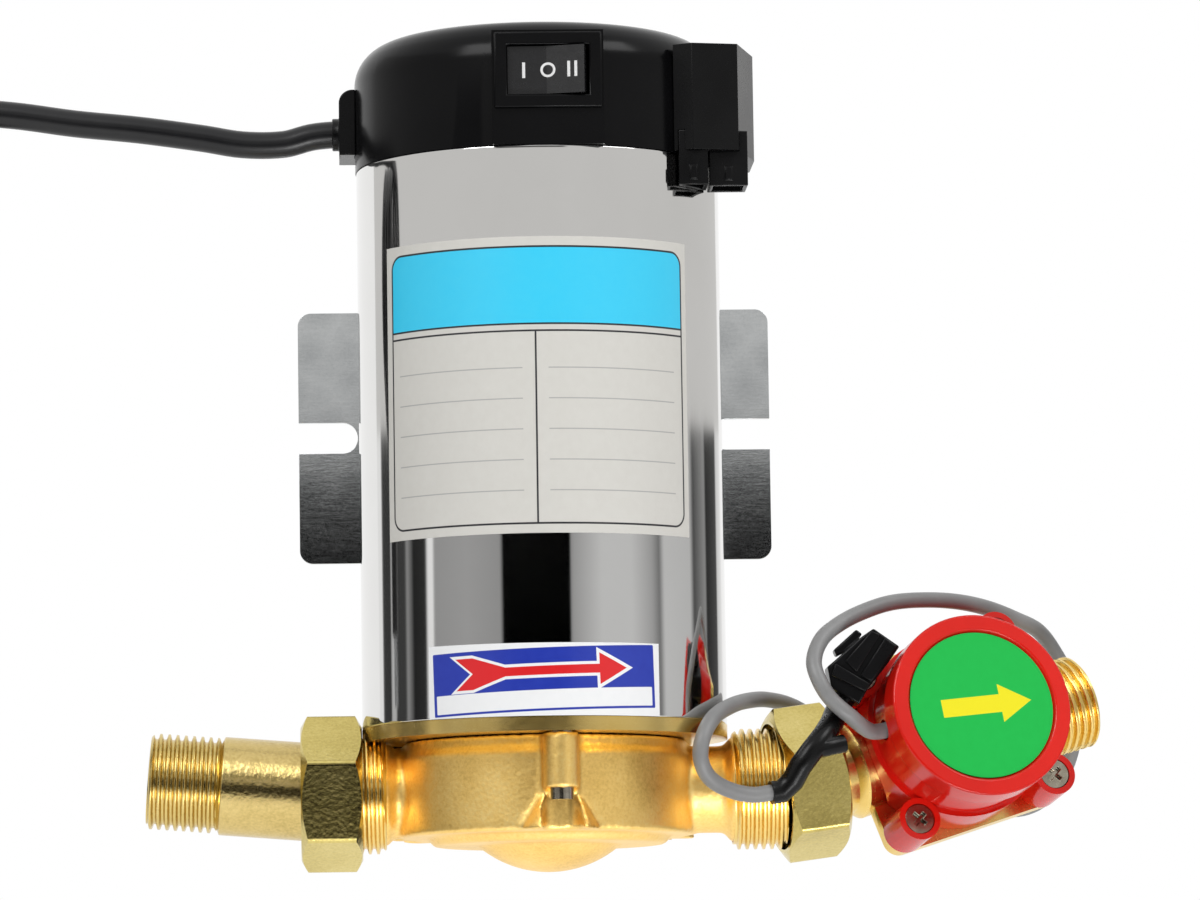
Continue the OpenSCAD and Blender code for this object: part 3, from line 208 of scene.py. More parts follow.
def newObject(name, verts, faces, material):
    mesh = bpy.data.meshes.new(name)
    mesh.from_pydata(verts.tolist(), [], faces.tolist())
    mesh.update()
    obj = bpy.data.objects.new(name, mesh)
    bpy.context.scene.collection.objects.link(obj)
    mesh.materials.append(material)
    return obj


def cleanMesh(obj, merge=0.000002, sharp=35.0):
    work = bmesh.new()
    work.from_mesh(obj.data)
    bmesh.ops.remove_doubles(work, verts=work.verts, dist=merge)
    bmesh.ops.dissolve_degenerate(work, edges=work.edges, dist=merge / 2)
    bmesh.ops.recalc_face_normals(work, faces=work.faces)
    work.to_mesh(obj.data)
    work.free()
    obj.data.shade_smooth()
    obj.data.set_sharp_from_angle(angle=math.radians(sharp))


def gridPiece(name, points, material, closeRows=False, closeColumns=True, sharp=35.0):
    # points[i, j] is row i, column j, in pump millimetres
    rows, columns = points.shape[:2]
    obj = newObject(name, rowPlace(points.reshape(-1, 3)), gridFaces(rows, columns, closeRows, closeColumns), material)
    cleanMesh(obj, sharp=sharp)
    return obj


def axisFrame(origin, along):
    # a turned piece's origin and unit vectors: along its axis, level across it, and up across it
    along = unit(along)
    across = unit(np.cross((0, 0, 1), along))
    return np.asarray(origin, float), along, across, np.cross(along, across)


def onAxis(frameOf, t, r, angle):
    # point at distance t along an axis and radius r, turned by angle from the first cross direction
    origin, along, across, rise = frameOf
    t, r, angle = np.broadcast_arrays(t, r, angle)
    return (origin + t[..., None] * along + (r * np.cos(angle))[..., None] * across
            + (r * np.sin(angle))[..., None] * rise)


def rounded(corners, radii, steps=5):
    # A profile with each corner replaced by an arc that touches both its sides.
    corners = [np.asarray(c, float) for c in corners]
    out = [corners[0]]
    for before, corner, after, radius in zip(corners[:-2], corners[1:-1], corners[2:], radii[1:-1]):
        a, b = unit(before - corner), unit(after - corner)
        half = math.acos(max(-1.0, min(1.0, float(a @ b)))) / 2
        if radius <= 0 or half > 1.56:
            out.append(corner)
            continue
        shorter = min(np.linalg.norm(before - corner), np.linalg.norm(after - corner))
        reach = min(radius / math.tan(half), 0.49 * shorter)
        bend = reach * math.tan(half)
        middle = corner + unit(a + b) * bend / math.sin(half)
        start, stop = corner + a * reach - middle, corner + b * reach - middle
        turn = math.atan2(start[0] * stop[1] - start[1] * stop[0], float(start @ stop))
        for share in np.linspace(0, 1, steps + 1):
            c, s = math.cos(turn * share), math.sin(turn * share)
            out.append(middle + np.array([start[0] * c - start[1] * s, start[0] * s + start[1] * c]))
    out.append(corners[-1])
    return np.array(out)


def lathePiece(name, frameOf, profile, material, segments=160, closeRows=True, sharp=35.0):
    # profile rows are (along the axis, radius), carried once round the axis
    angle = np.linspace(0, 2 * np.pi, segments, endpoint=False)[None, :]
    return gridPiece(name, onAxis(frameOf, profile[:, 0][:, None], profile[:, 1][:, None], angle), material,
                     closeRows, True, sharp)


threadForm = {"pitch": 1.814, "depth": 1.16, "rowsPerTurn": 16, "segments": 128, "flank": 0.24, "crest": 0.12,
              "chamfer": 0.8, "chamferSlope": 1.2, "runIn": 0.9}


def threadPiece(name, frameOf, start, stop, crest, inner, material):
    # Radius = root + depth x a flat-topped wave of (distance / pitch - angle / full turn): its crests wind as a helix.
    form = threadForm
    rows = int((stop - start) / form["pitch"] * form["rowsPerTurn"]) + 1
    t = np.linspace(start, stop, rows)[:, None]
    angle = np.linspace(0, 2 * np.pi, form["segments"], endpoint=False)[None, :]
    phase = np.abs((t / form["pitch"] - angle / (2 * np.pi)) % 1 - 0.5)
    tooth = np.clip((form["crest"] + form["flank"] - phase) / form["flank"], 0, 1)
    tooth = tooth * tooth * (3 - 2 * tooth)
    chamfered = crest - form["chamfer"] + (stop - t) * form["chamferSlope"]
    risen = crest - (form["depth"] - (t - start)) * form["runIn"]
    top = np.minimum(crest, np.minimum(chamfered, risen))
    root = crest - form["depth"]
    radius = np.maximum(root + (top - root) * tooth, inner + 0.05)
    outer = onAxis(frameOf, t + 0 * angle, radius, angle)
    lowRows = np.array([[stop], [start]])
    closing = onAxis(frameOf, lowRows + 0 * angle, np.full((2, form["segments"]), inner), angle)
    return gridPiece(name, np.concatenate([outer, closing]), material, True, True, 60.0)


def hexRadius(angle, half):
    return half / np.cos((angle + np.pi / 6) % (np.pi / 3) - np.pi / 6)


hexForm = {"cornerCut": 0.18, "flatStep": 0.12, "cone": 30.0, "coneShares": (0.35, 0.7, 0.93, 1.0)}


def hexPiece(name, frameOf, length, flats, face, inside, turn, material, segments=360):
    # Radius of the outside = the smaller of a hexagon's and a cone's; rows lie on the curve where they meet.
    form = hexForm
    angle = np.linspace(0, 2 * np.pi, segments, endpoint=False)[None, :]
    side = hexRadius(angle - turn, flats / 2)
    side = np.minimum(side, flats / 2 / math.cos(math.pi / 6) - form["cornerCut"])
    meet = (side - face) * math.tan(math.radians(form["cone"]))
    rows = [(0 * angle, face + 0 * angle)]
    rows += [(meet * s, face + (side - face) * s) for s in form["coneShares"]]
    rows += [(meet + form["flatStep"], side), (length / 2 + 0 * angle, side),
             (length - meet - form["flatStep"], side)]
    rows += [(length - meet * s, face + (side - face) * s) for s in form["coneShares"][::-1]]
    rows += [(length + 0 * angle, face + 0 * angle)]
    rows += [(t + 0 * angle, r + 0 * angle) for t, r in inside]
    points = np.stack([onAxis(frameOf, t, r, angle[0][None, :])[0] for t, r in rows])
    return gridPiece(name, points, material, True, True, 28.0)


def easeEdges(obj, width, sharp=32.0, segments=2):
    ease = obj.modifiers.new("ease", "BEVEL")
    ease.width, ease.segments, ease.limit_method = width / 1000, segments, "ANGLE"
    ease.angle_limit = math.radians(sharp)
    ease.use_clamp_overlap = True


def dressed(node, name, body, material, bevel=0.0, merge=0.00001, change=None, sharp=32.0, segments=2):
    # A merged copy of a CAD solid with eased edges; change may move its vertices first.
    source = nodes[node]
    mesh = source.data.copy()
    mesh.name = name
    obj = bpy.data.objects.new(name, mesh)
    bpy.context.scene.collection.objects.link(obj)
    mesh.materials.clear()
    mesh.materials.append(material)
    mesh.polygons.foreach_set("material_index", np.zeros(len(mesh.polygons), np.int32))
    if change:
        flat = np.empty(len(mesh.vertices) * 3)
        mesh.vertices.foreach_get("co", flat)
        moved = change(flat.reshape(-1, 3) * 1000 - toRow)
        mesh.vertices.foreach_set("co", rowPlace(moved).ravel())
        mesh.update()
    work = bmesh.new()
    work.from_mesh(mesh)
    bmesh.ops.remove_doubles(work, verts=work.verts, dist=merge)
    bmesh.ops.dissolve_limit(work, angle_limit=math.radians(0.6), verts=work.verts, edges=work.edges)
    work.to_mesh(mesh)
    work.free()
    mesh.shade_smooth()
    mesh.set_sharp_from_angle(angle=math.radians(sharp))
    if bevel:
        easeEdges(obj, bevel, sharp, segments)
    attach(obj, body)
    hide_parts(node)
    return obj


def settle(obj, body, slotName, *replaced):
    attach(obj, body)
    if replaced:
        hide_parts(*replaced)
    return obj


def paintNode(node, material):
    mesh = nodes[node].data
    if not mesh.materials:
        mesh.materials.append(material)
    for i in range(len(mesh.materials)):
        mesh.materials[i] = material


def smoothRoute(name, points, radius, material, resolution=8, rings=6):
    # One bezier spline; each handle lies along the line between a point's neighbours, a third of the way to the next.
    p = rowPlace(points)
    ahead = np.vstack([p[1:], 2 * p[-1:] - p[-2:-1]])
    behind = np.vstack([2 * p[:1] - p[1:2], p[:-1]])
    way = ahead - behind
    way /= np.linalg.norm(way, axis=1)[:, None]
    reachOut = np.linalg.norm(ahead - p, axis=1)[:, None] / 3
    reachBack = np.linalg.norm(p - behind, axis=1)[:, None] / 3
    data = bpy.data.curves.new(name, "CURVE")
    data.dimensions = "3D"
    data.bevel_depth, data.bevel_resolution = radius / 1000, rings
    data.resolution_u = data.render_resolution_u = resolution
    data.use_fill_caps = True
    data.twist_mode = "MINIMUM"
    line = data.splines.new("BEZIER")
    line.bezier_points.add(len(p) - 1)
    for handle in ("handle_left_type", "handle_right_type"):
        for b in line.bezier_points:
            setattr(b, handle, "FREE")
    line.bezier_points.foreach_set("co", p.ravel())
    line.bezier_points.foreach_set("handle_left", (p - way * reachBack).ravel())
    line.bezier_points.foreach_set("handle_right", (p + way * reachOut).ravel())
    data.materials.append(material)
    obj = bpy.data.objects.new(name, data)
    bpy.context.scene.collection.objects.link(obj)
    return obj


# Cords.
cordBlack = plainFinish("cordBlack", (0.006, 0.006, 0.007), (0.014, 0.014, 0.015), 0.3, grain=1400.0,
                        height=0.00003, strength=0.3, patches=30.0, shine=0.35)
cableGrey = plainFinish("cableGrey", (0.20, 0.20, 0.20), (0.27, 0.27, 0.27), 0.42, grain=1200.0,
                        height=0.00003, strength=0.3, patches=60.0)

mainsLead = {
    "route": [(-42.1, 4, 146.5), (-45.6, 4, 146.5), (-50, 4, 146), (-56, 4, 144.5), (-65, 4, 144.5), (-74, 4, 146),
              (-88, 4, 148), (-102, 4, 149.5), (-116, 4, 151.5), (-130, 4, 152.5), (-142, 4, 152.5), (-152, 4, 152.5)],
    "coilMiddle": (-158, 119.5), "coilRadius": 33, "coilPitch": 6.5, "coilTurns": 4.25, "pointsPerTurn": 24,
    "rest": 4, "drop": (113.5, 108, 101, 94, 88, 82), "radius": 3, "length": 1.035}
turns = np.linspace(0, mainsLead["coilTurns"], int(mainsLead["coilTurns"] * mainsLead["pointsPerTurn"]) + 1)
wound = np.stack([mainsLead["coilMiddle"][0] - mainsLead["coilRadius"] * np.sin(2 * np.pi * turns),
                  mainsLead["rest"] + mainsLead["coilPitch"] * turns,
                  mainsLead["coilMiddle"][1] + mainsLead["coilRadius"] * np.cos(2 * np.pi * turns)], -1)
hang = np.array([(wound[-1][0], wound[-1][1], z) for z in mainsLead["drop"]])
lead = smoothRoute("mainsLead", np.vstack([mainsLead["route"], wound, hang]),
                   mainsLead["radius"], cordBlack, 6, 7)
settle(lead, "housing", "cord_pvc", "mains_cord", "cord_coil", "cord_tail")

plugBody = dressed("mains_plug", "plugBody", "housing", cordBlack, bevel=0.8, sharp=25.0, segments=3)

signalLead = {"radius": 1.75, "length": 0.301, "route": [
    (76, -13, 12.5), (73, -13.5, 11.5), (70, -15.5, 11.5), (65.5, -19.5, 14.5), (61.5, -20.5, 18), (59, -20.5, 22),
    (58, -18.5, 26.5), (60, -15, 31.5), (64, -11, 35), (69.5, -6.5, 38), (76.5, -1.5, 40.5), (84.5, 4, 41.5),
    (92.5, 10, 41.5), (100, 17, 40.5), (107, 24, 38.5), (112.5, 31, 36.5), (117, 38, 32), (120.5, 41.5, 25.5),
    (121.5, 42.3, 17.5), (120.5, 42.3, 9.5), (116.5, 39.5, 2), (109.5, 34.5, -3), (100.5, 31, -3), (90.5, 29.5, 0.5),
    (80.5, 28.5, 4.5), (71, 26.5, 10), (63.5, 22.5, 15), (56, 16, 19), (49.5, 6, 20), (44, -5, 19),
    (39.5, -16, 17), (35.5, -24.5, 14), (33, -28.5, 9.5), (32.5, -28.5, 5), (34.5, -26.5, 1), (39, -24, -1.5),
    (44, -22, -2.5), (48, -21, -2)]}
signal = smoothRoute("signalLead", signalLead["route"], signalLead["radius"], cableGrey, 8, 6)
settle(signal, "housing", "grey_pvc", "signal_cable")
print("cords laid")

# Finishes.
glossBlack = plainFinish("glossBlack", (0.0015, 0.0015, 0.0018), (0.004, 0.004, 0.0045), 0.2, grain=700.0,
                         height=0.00002, strength=0.12, spread=0.05, patches=25.0, shine=0.13)
mouldedBlack = plainFinish("mouldedBlack", (0.002, 0.002, 0.0022), (0.006, 0.006, 0.0065), 0.28, grain=1300.0,
                           height=0.00003, strength=0.25, patches=45.0, shine=0.18)
sleeveBlack = plainFinish("sleeveBlack", (0.002, 0.002, 0.002), (0.006, 0.006, 0.006), 0.27, grain=900.0,
                          height=0.00004, strength=0.35, patches=70.0, shine=0.2)
brightScrew = plainFinish("brightScrew", (0.22, 0.19, 0.14), (0.46, 0.42, 0.34), 0.2, 1.0, grain=1500.0,
                          height=0.00002, strength=0.3, patches=200.0)
steelBright = plainFinish("steelBright", (0.66, 0.67, 0.68), (0.8, 0.81, 0.82), 0.2, 1.0, grain=1500.0,
                          height=0.00001, strength=0.3, patches=120.0)


def shellSteel():
    # Mirror polish with fine upright polishing lines, faint smears and a slow waviness of the rolled sheet.
    shop = Shop("polishedShell")
    lines = shop.noise(1.0, 3.0, 0.6, shop.stretched((1400.0, 1400.0, 14.0)))
    smear = shop.noise(34.0, 4.0, 0.6, twist=0.5)
    wave = shop.noise(1.0, 1.0, 0.4, shop.stretched((26.0, 26.0, 7.0)))
    tone = shop.mix(smear, (0.72, 0.715, 0.70), (0.80, 0.795, 0.785))
    rough = shop.between(smear * 0.5 + lines * 0.5, 0.02, 0.09)
    first = shop.bump(wave, 0.12, 0.0011)
    return shop.finish(Base_Color=tone, Metallic=1.0, Roughness=rough, Normal=shop.bump(lines, 0.05, 0.00001, first))


def castBrass(name="castBrass", low=(0.72, 0.44, 0.10), middle=(0.97, 0.66, 0.21), high=(1.0, 0.80, 0.36),
              rough=(0.32, 0.52), relief=0.55):
    # Sand-cast and blasted: pitted grain, darker in the pits, with a rubbed, brighter bloom in patches.
    shop = Shop(name)
    grain = shop.noise(1500.0, 3.0, 0.65)
    pits = shop.cells(900.0)
    bloom = shop.noise(60.0, 4.0, 0.6)
    tone = shop.make("ShaderNodeValToRGB", {"stops": [(0.25, low), (0.5, middle), (0.8, high)]},
                     {0: grain * 0.45 + bloom * 0.55})
    height = grain * 0.7 + pits * 0.5
    gloss = shop.between(grain * 0.4 + bloom * 0.6, *rough)
    return shop.finish(Base_Color=tone, Metallic=1.0, Roughness=gloss, Normal=shop.bump(height, relief, 0.00012))


def turnedBrass(name, along, low=(0.74, 0.50, 0.13), high=(0.92, 0.70, 0.27), rough=0.2, rings=900.0):
    # Lathe-turned: fine rings across the axis, so the noise is stretched square to it.
    shop = Shop(name)
    x, y, z = shop.parts(shop.place())
    reach = x * float(along[0]) + y * float(along[1]) + z * float(along[2])
    ring = shop.make("ShaderNodeTexNoise", {"noise_dimensions": "1D"},
                     {"W": reach * rings, "Scale": 1.0, "Detail": 4.0, "Roughness": 0.7})
    bloom = shop.noise(90.0, 4.0, 0.6)
    scratch = shop.noise(1.0, 2.0, 0.6, shop.stretched((300.0, 2400.0, 900.0), (0.3, 0.2, 0.6)))
    tone = shop.make("ShaderNodeValToRGB", {"stops": [(0.25, low), (0.75, high)]}, {0: ring * 0.35 + bloom * 0.65})
    gloss = shop.between(ring * 0.5 + scratch * 0.5, rough - 0.07, rough + 0.16)
    return shop.finish(Base_Color=tone, Metallic=1.0, Roughness=gloss,
                       Normal=shop.bump(ring * 0.6 + scratch * 0.4, 0.18, 0.00003))


def zincSheet():
    # Galvanised sheet: spangle in soft patches, a rolled grain along x and a fine speckle.
    shop = Shop("zincSheet")
    spangle = shop.cells(130.0)
    grain = shop.noise(1.0, 4.0, 0.7, shop.stretched((260.0, 900.0, 1900.0)))
    speck = shop.noise(1700.0, 2.0, 0.7)
    tone = shop.make("ShaderNodeValToRGB", {"stops": [(0.25, (0.46, 0.48, 0.49)), (0.75, (0.74, 0.76, 0.77))]},
                     {0: spangle * 0.3 + grain * 0.35 + speck * 0.35})
    gloss = shop.between(speck * 0.5 + grain * 0.5, 0.04, 0.13)
    return shop.finish(Base_Color=tone, Metallic=1.0, Roughness=gloss,
                       Normal=shop.bump(grain * 0.5 + speck * 0.5, 0.12, 0.00003))


def boxInside(a, b, halfA, halfB, radius):
    # how far a point lies inside a rounded rectangle, negative outside
    da, db = abs(a) - (halfA - radius), abs(b) - (halfB - radius)
    outside = (da.upper(0.0) * da.upper(0.0) + db.upper(0.0) * db.upper(0.0)).root()
    return radius - outside - da.upper(db).lower(0.0)


labelRadius = 40.1
ratingPrint = {"paper": (0.63, 0.615, 0.575), "paperPale": (0.68, 0.67, 0.63), "ink": (0.015, 0.015, 0.02),
               "band": (0.03, 0.61, 0.92), "bandPale": (0.045, 0.64, 0.93), "rule": (0.30, 0.30, 0.31),
               "middle": (-2.1, 85.05), "half": (35.7, 29.85), "corner": 3.0, "line": 0.42, "innerLine": 0.4,
               "bandFoot": 98.2, "secondLine": 96.7, "divider": -2.1, "ruleLine": 0.22, "rulePitch": 6.6,
               "ruleTop": 92.0, "ruleFoot": 56.5, "ruleGap": 2.0, "ruleInk": 0.75,
               "fields": ((-35.5, -5.0), (0.6, 31.0)), "edge": 0.09}


def ratingLabel():
    # Printed by height and by distance round the shell, so the pattern keeps to the curve of the motor.
    p = ratingPrint
    edge, thin, ruled = p["edge"], p["innerLine"] / 2, p["ruleLine"] / 2
    shop = Shop("ratingPaper")
    x, y, z = shop.pumpPlace()
    s = shop.make("ShaderNodeMath", {"operation": "ARCTAN2"}, {0: x, 1: -y}) * labelRadius
    inside = boxInside(s - p["middle"][0], z - p["middle"][1], p["half"][0], p["half"][1], p["corner"])
    within = inside.soft(edge)
    border = (p["line"] / 2 - abs(inside)).soft(edge)
    band = within * (z - p["bandFoot"]).soft(edge)
    firstLine = within * (thin - abs(z - p["bandFoot"])).soft(edge)
    secondLine = within * (thin - abs(z - p["secondLine"])).soft(edge)
    divider = within * (thin - abs(s - p["divider"])).soft(edge) * (p["secondLine"] - z).soft(edge)
    rows = (p["ruleTop"] - z) / p["rulePitch"]
    share = rows.maths("FRACT", rows)
    rule = (ruled - abs(share - 0.5) * p["rulePitch"]).soft(edge)
    rule = rule * (z - p["ruleFoot"]).soft(edge) * (p["secondLine"] - p["ruleGap"] - z).soft(edge)
    left, right = [(s - a).soft(edge) * (b - s).soft(edge) for a, b in p["fields"]]
    rule = rule * (left + right)
    fibre = shop.noise(500.0, 3.0, 0.6)
    tone = shop.mix(rule * p["ruleInk"], shop.mix(fibre, p["paper"], p["paperPale"]), p["rule"])
    tone = shop.mix(band, tone, shop.mix(fibre, p["band"], p["bandPale"]))
    tone = shop.mix(border.upper(firstLine).upper(secondLine).upper(divider), tone, p["ink"])
    return shop.finish(Base_Color=tone, Roughness=shop.between(fibre, 0.28, 0.4), Coat_Weight=0.15,
                       Normal=shop.bump(shop.noise(160.0, 2.0, 0.5), 0.08, 0.0002))


arrowPrint = {"white": (0.85, 0.86, 0.87), "blue": (0.012, 0.03, 0.36), "red": (0.72, 0.012, 0.016), "tilt": 1.7,
              "middle": (-1.35, 21.8), "half": (25.2, 6.75), "strip": (-4.25, 2.0), "edge": 0.09,
              "corner": 0.3, "stripInset": 0.7, "stripCorner": 0.2,
              "tail": -19.5, "notch": 4.0, "waist": -8.2, "neck": 12.2, "tip": 18.4, "wide": 3.4, "thin": 0.95,
              "rise": 1.9, "outline": 0.62}


def arrowShape(s, z, grow):
    # Half height of the arrow by distance along it: swallow tail, tapering waist, shaft and head.
    p = arrowPrint
    waist = (p["waist"] - s) / (p["waist"] - p["tail"] - p["notch"])
    tailHalf = waist.upper(0.0).lower(1.0) * (p["wide"] - p["thin"]) + p["thin"]
    headHalf = (p["tip"] - s) * (p["wide"] / (p["tip"] - p["neck"]))
    inHead = (s - p["neck"] + grow).maths("GREATER_THAN", s, p["neck"] - grow)
    half = headHalf * inHead + tailHalf * (1.0 - inHead) + grow * (1.0 + inHead * 0.3)
    body = (half - abs(z)).soft(p["edge"])
    start = (s - (p["tail"] - grow) - (p["notch"] - abs(z) * (p["notch"] / p["wide"]))).soft(p["edge"])
    return body * start


def arrowLabel():
    p = arrowPrint
    shop = Shop("arrowPaper")
    x, y, z = shop.pumpPlace()
    around = shop.make("ShaderNodeMath", {"operation": "ARCTAN2"}, {0: x, 1: -y}) * labelRadius
    a, b = around - p["middle"][0], z - p["middle"][1]
    c, d = math.cos(math.radians(p["tilt"])), math.sin(math.radians(p["tilt"]))
    s, h = a * c + b * d, b * c - a * d  # along and across the printed panel
    panel = boxInside(s, h, p["half"][0], p["half"][1], p["corner"]).soft(p["edge"])
    strip = boxInside(s, h - p["strip"][0], p["half"][0] - p["stripInset"], p["strip"][1], p["stripCorner"])
    strip = strip.soft(p["edge"])
    outline = arrowShape(s, h - p["rise"], p["outline"])
    arrow = arrowShape(s, h - p["rise"], 0.0)
    fibre = shop.noise(500.0, 3.0, 0.6)
    white = shop.mix(fibre, p["white"], (0.9, 0.905, 0.91))
    tone = shop.mix(panel, white, shop.mix(fibre, p["blue"], (0.018, 0.045, 0.42)))
    tone = shop.mix(strip, tone, white)
    tone = shop.mix(outline, tone, white)
    tone = shop.mix(arrow, tone, p["red"])
    return shop.finish(Base_Color=tone, Roughness=shop.between(fibre, 0.25, 0.36), Coat_Weight=0.2,
                       Normal=shop.bump(shop.noise(160.0, 2.0, 0.5), 0.08, 0.0002))


rockerMarks = {"middle": (1.35, 153.2), "front": -38.4, "apart": 5.2, "tall": 1.7, "bar": 0.32, "ring": 1.35,
               "ringLine": 0.26, "pair": 0.3, "pairGap": 0.75, "edge": 0.06, "paint": (0.78, 0.78, 0.78)}


def rockerFinish():
    # Marks by plain shapes: one bar, a ring and two bars, in white paint on the front only.
    p = rockerMarks
    shop = Shop("rockerBlack")
    x, y, z = shop.pumpPlace()
    x, z = x - p["middle"][0], z - p["middle"][1]
    tall = (p["tall"] - abs(z)).soft(p["edge"])
    bar = (p["bar"] - abs(x + p["apart"])).soft(p["edge"]) * tall
    ring = (p["ringLine"] - abs((x * x + z * z).root() - p["ring"])).soft(p["edge"])
    pair = (p["pair"] - abs(abs(x - p["apart"]) - p["pairGap"])).soft(p["edge"]) * tall
    marks = (bar + ring + pair).lower(1.0) * (p["front"] - y).soft(0.1)
    fine = shop.noise(700.0)
    base = shop.mix(fine, (0.007, 0.007, 0.008), (0.016, 0.016, 0.017))
    return shop.finish(Base_Color=shop.mix(marks, base, p["paint"]), Roughness=shop.between(fine, 0.2, 0.32),
                       Normal=shop.bump(fine, 0.15, 0.00002))


shellMetal, bodyBrass, sheetZinc = shellSteel(), castBrass(), zincSheet()
print("finishes mixed")

# Motor shell and labels.
shellCut = {"radius": 40.0, "wall": 0.8, "foot": 13.9, "top": 137.1, "roll": 0.35, "rows": 24, "segments": 256}
upright = (np.zeros(3), np.array([0.0, 0.0, 1.0]), np.array([1.0, 0.0, 0.0]), np.array([0.0, 1.0, 0.0]))
foot, rim, outside = shellCut["foot"], shellCut["top"], shellCut["radius"]
shellProfile = rounded([(foot, outside - shellCut["wall"]), (foot, outside), (rim, outside),
                        (rim, outside - shellCut["wall"])], [0, shellCut["roll"], shellCut["roll"], 0], 4)
middleRows = np.stack([np.linspace(foot + 1, rim - 1, shellCut["rows"]), np.full(shellCut["rows"], outside)], -1)
cut = int(np.argmax(shellProfile[:, 0] > rim - 1))
shellProfile = np.vstack([shellProfile[:cut], middleRows, shellProfile[cut:]])
shell = lathePiece("motorSkin", upright, shellProfile, shellMetal, shellCut["segments"])
settle(shell, "housing", "shell_steel", "motor_shell")
paintNode("rating_label", ratingLabel())
paintNode("arrow_label", arrowLabel())
print("shell rolled")

# Cap, switch, connector box.
dressed("top_cap", "capMoulding", "housing", glossBlack, bevel=0.35)
dressed("switch_body", "switchFrame", "housing", glossBlack, bevel=0.3)
dressed("rocker", "rockerPaddle", "rocker", rockerFinish(), bevel=0.25)
dressed("connector_box", "plugBox", "housing", mouldedBlack, bevel=0.35)
dressed("socket_left", "leftSocket", "housing", mouldedBlack, bevel=0.2)
dressed("socket_right", "rightSocket", "housing", mouldedBlack, bevel=0.2)
dressed("cord_gland", "cordGrip", "housing", mouldedBlack, bevel=0.4)
print("cap moulded")

# Brass.
bodyForm = {"voxel": 0.72, "relax": 5, "inletFrom": -35.0, "outletFrom": 41.0, "bossRadius": 10.0, "neck": 11.56,
            "overrun": 0.2}


def flattenPorts(p):
    # vertices of the ring-shaped ridges move in to a plain neck, which the winding threads cover
    form = bodyForm
    r = np.hypot(p[:, 1], p[:, 2])
    beyond = (p[:, 0] < form["inletFrom"] + form["overrun"]) | (p[:, 0] > form["outletFrom"] - form["overrun"])
    onThread = beyond & (r > form["bossRadius"])
    shrink = np.where(onThread, np.minimum(1.0, form["neck"] / np.maximum(r, 1e-6)), 1.0)
    out = p.copy()
    out[:, 1] *= shrink
    out[:, 2] *= shrink
    return out


bodyCast = dressed("pump_body", "bodyCasting", "housing", bodyBrass, change=flattenPorts)
remesh = bodyCast.modifiers.new("skin", "REMESH")
remesh.mode, remesh.voxel_size = "VOXEL", bodyForm["voxel"] / 1000
relax = bodyCast.modifiers.new("relax", "SMOOTH")
relax.factor, relax.iterations = 0.5, bodyForm["relax"]
depsgraph = bpy.context.evaluated_depsgraph_get()
settled = bpy.data.meshes.new_from_object(bodyCast.evaluated_get(depsgraph))
bodyCast.modifiers.clear()
bodyCast.data = settled
settled.shade_smooth()
print("body cast:", len(settled.polygons), "faces")

portForm = {"crest": 13.22, "inner": 11.6, "inlet": (34.9, 45.0), "outlet": (40.9, 52.6)}
portBrass = turnedBrass("portBrass", (1, 0, 0))
for port, way in (("inlet", -1), ("outlet", 1)):
    thread = threadPiece(port + "PortThread", axisFrame((0, 0, 0), (way, 0, 0)), *portForm[port], portForm["crest"],
                         portForm["inner"], portBrass)
    settle(thread, "housing", "brass")

paintNode("flange_plate", turnedBrass("plateBrass", (0, 0, 1), rings=1500.0))

tailForm = {"pivot": (-47.2, 0.0, 0.2), "tilt": 4.7, "length": 39.6, "radius": 10.75, "threadLength": 16.0,
            "bore": 7.5, "collar": 11.9, "collarThick": 1.6, "crest": 10.48, "core": 9.18, "threadInner": 8.6,
            "endGap": 0.05, "threadGap": 0.2, "shoulder": 0.7}
lean = math.radians(tailForm["tilt"])
tailAxis = axisFrame(tailForm["pivot"], (-math.cos(lean), 0, math.sin(lean)))
tailBrass = castBrass("tailBrass", (0.42, 0.30, 0.09), (0.62, 0.47, 0.18), (0.76, 0.60, 0.27), (0.14, 0.28))
endBrass = turnedBrass("endBrass", tailAxis[1], (0.56, 0.41, 0.12), (0.74, 0.58, 0.24))
threadFrom, tailEnd = tailForm["length"] - tailForm["threadLength"], tailForm["length"] - tailForm["endGap"]
tailProfile = rounded([(0, tailForm["bore"]), (0, tailForm["collar"]), (tailForm["collarThick"], tailForm["collar"]),
                       (tailForm["collarThick"], tailForm["radius"]), (threadFrom, tailForm["radius"]),
                       (threadFrom + tailForm["shoulder"], tailForm["core"]), (tailEnd, tailForm["core"]),
                       (tailEnd, tailForm["bore"])], [0, 0.3, 0.1, 0.3, 0.3, 0.1, 0.2, 0], 4)
settle(lathePiece("inletTail", tailAxis, tailProfile, tailBrass), "housing", "brass", "inlet_tailpiece")
endThread = threadPiece("inletEndThread", tailAxis, threadFrom + tailForm["threadGap"], tailForm["length"],
                        tailForm["crest"], tailForm["threadInner"], endBrass)
settle(endThread, "housing", "brass")

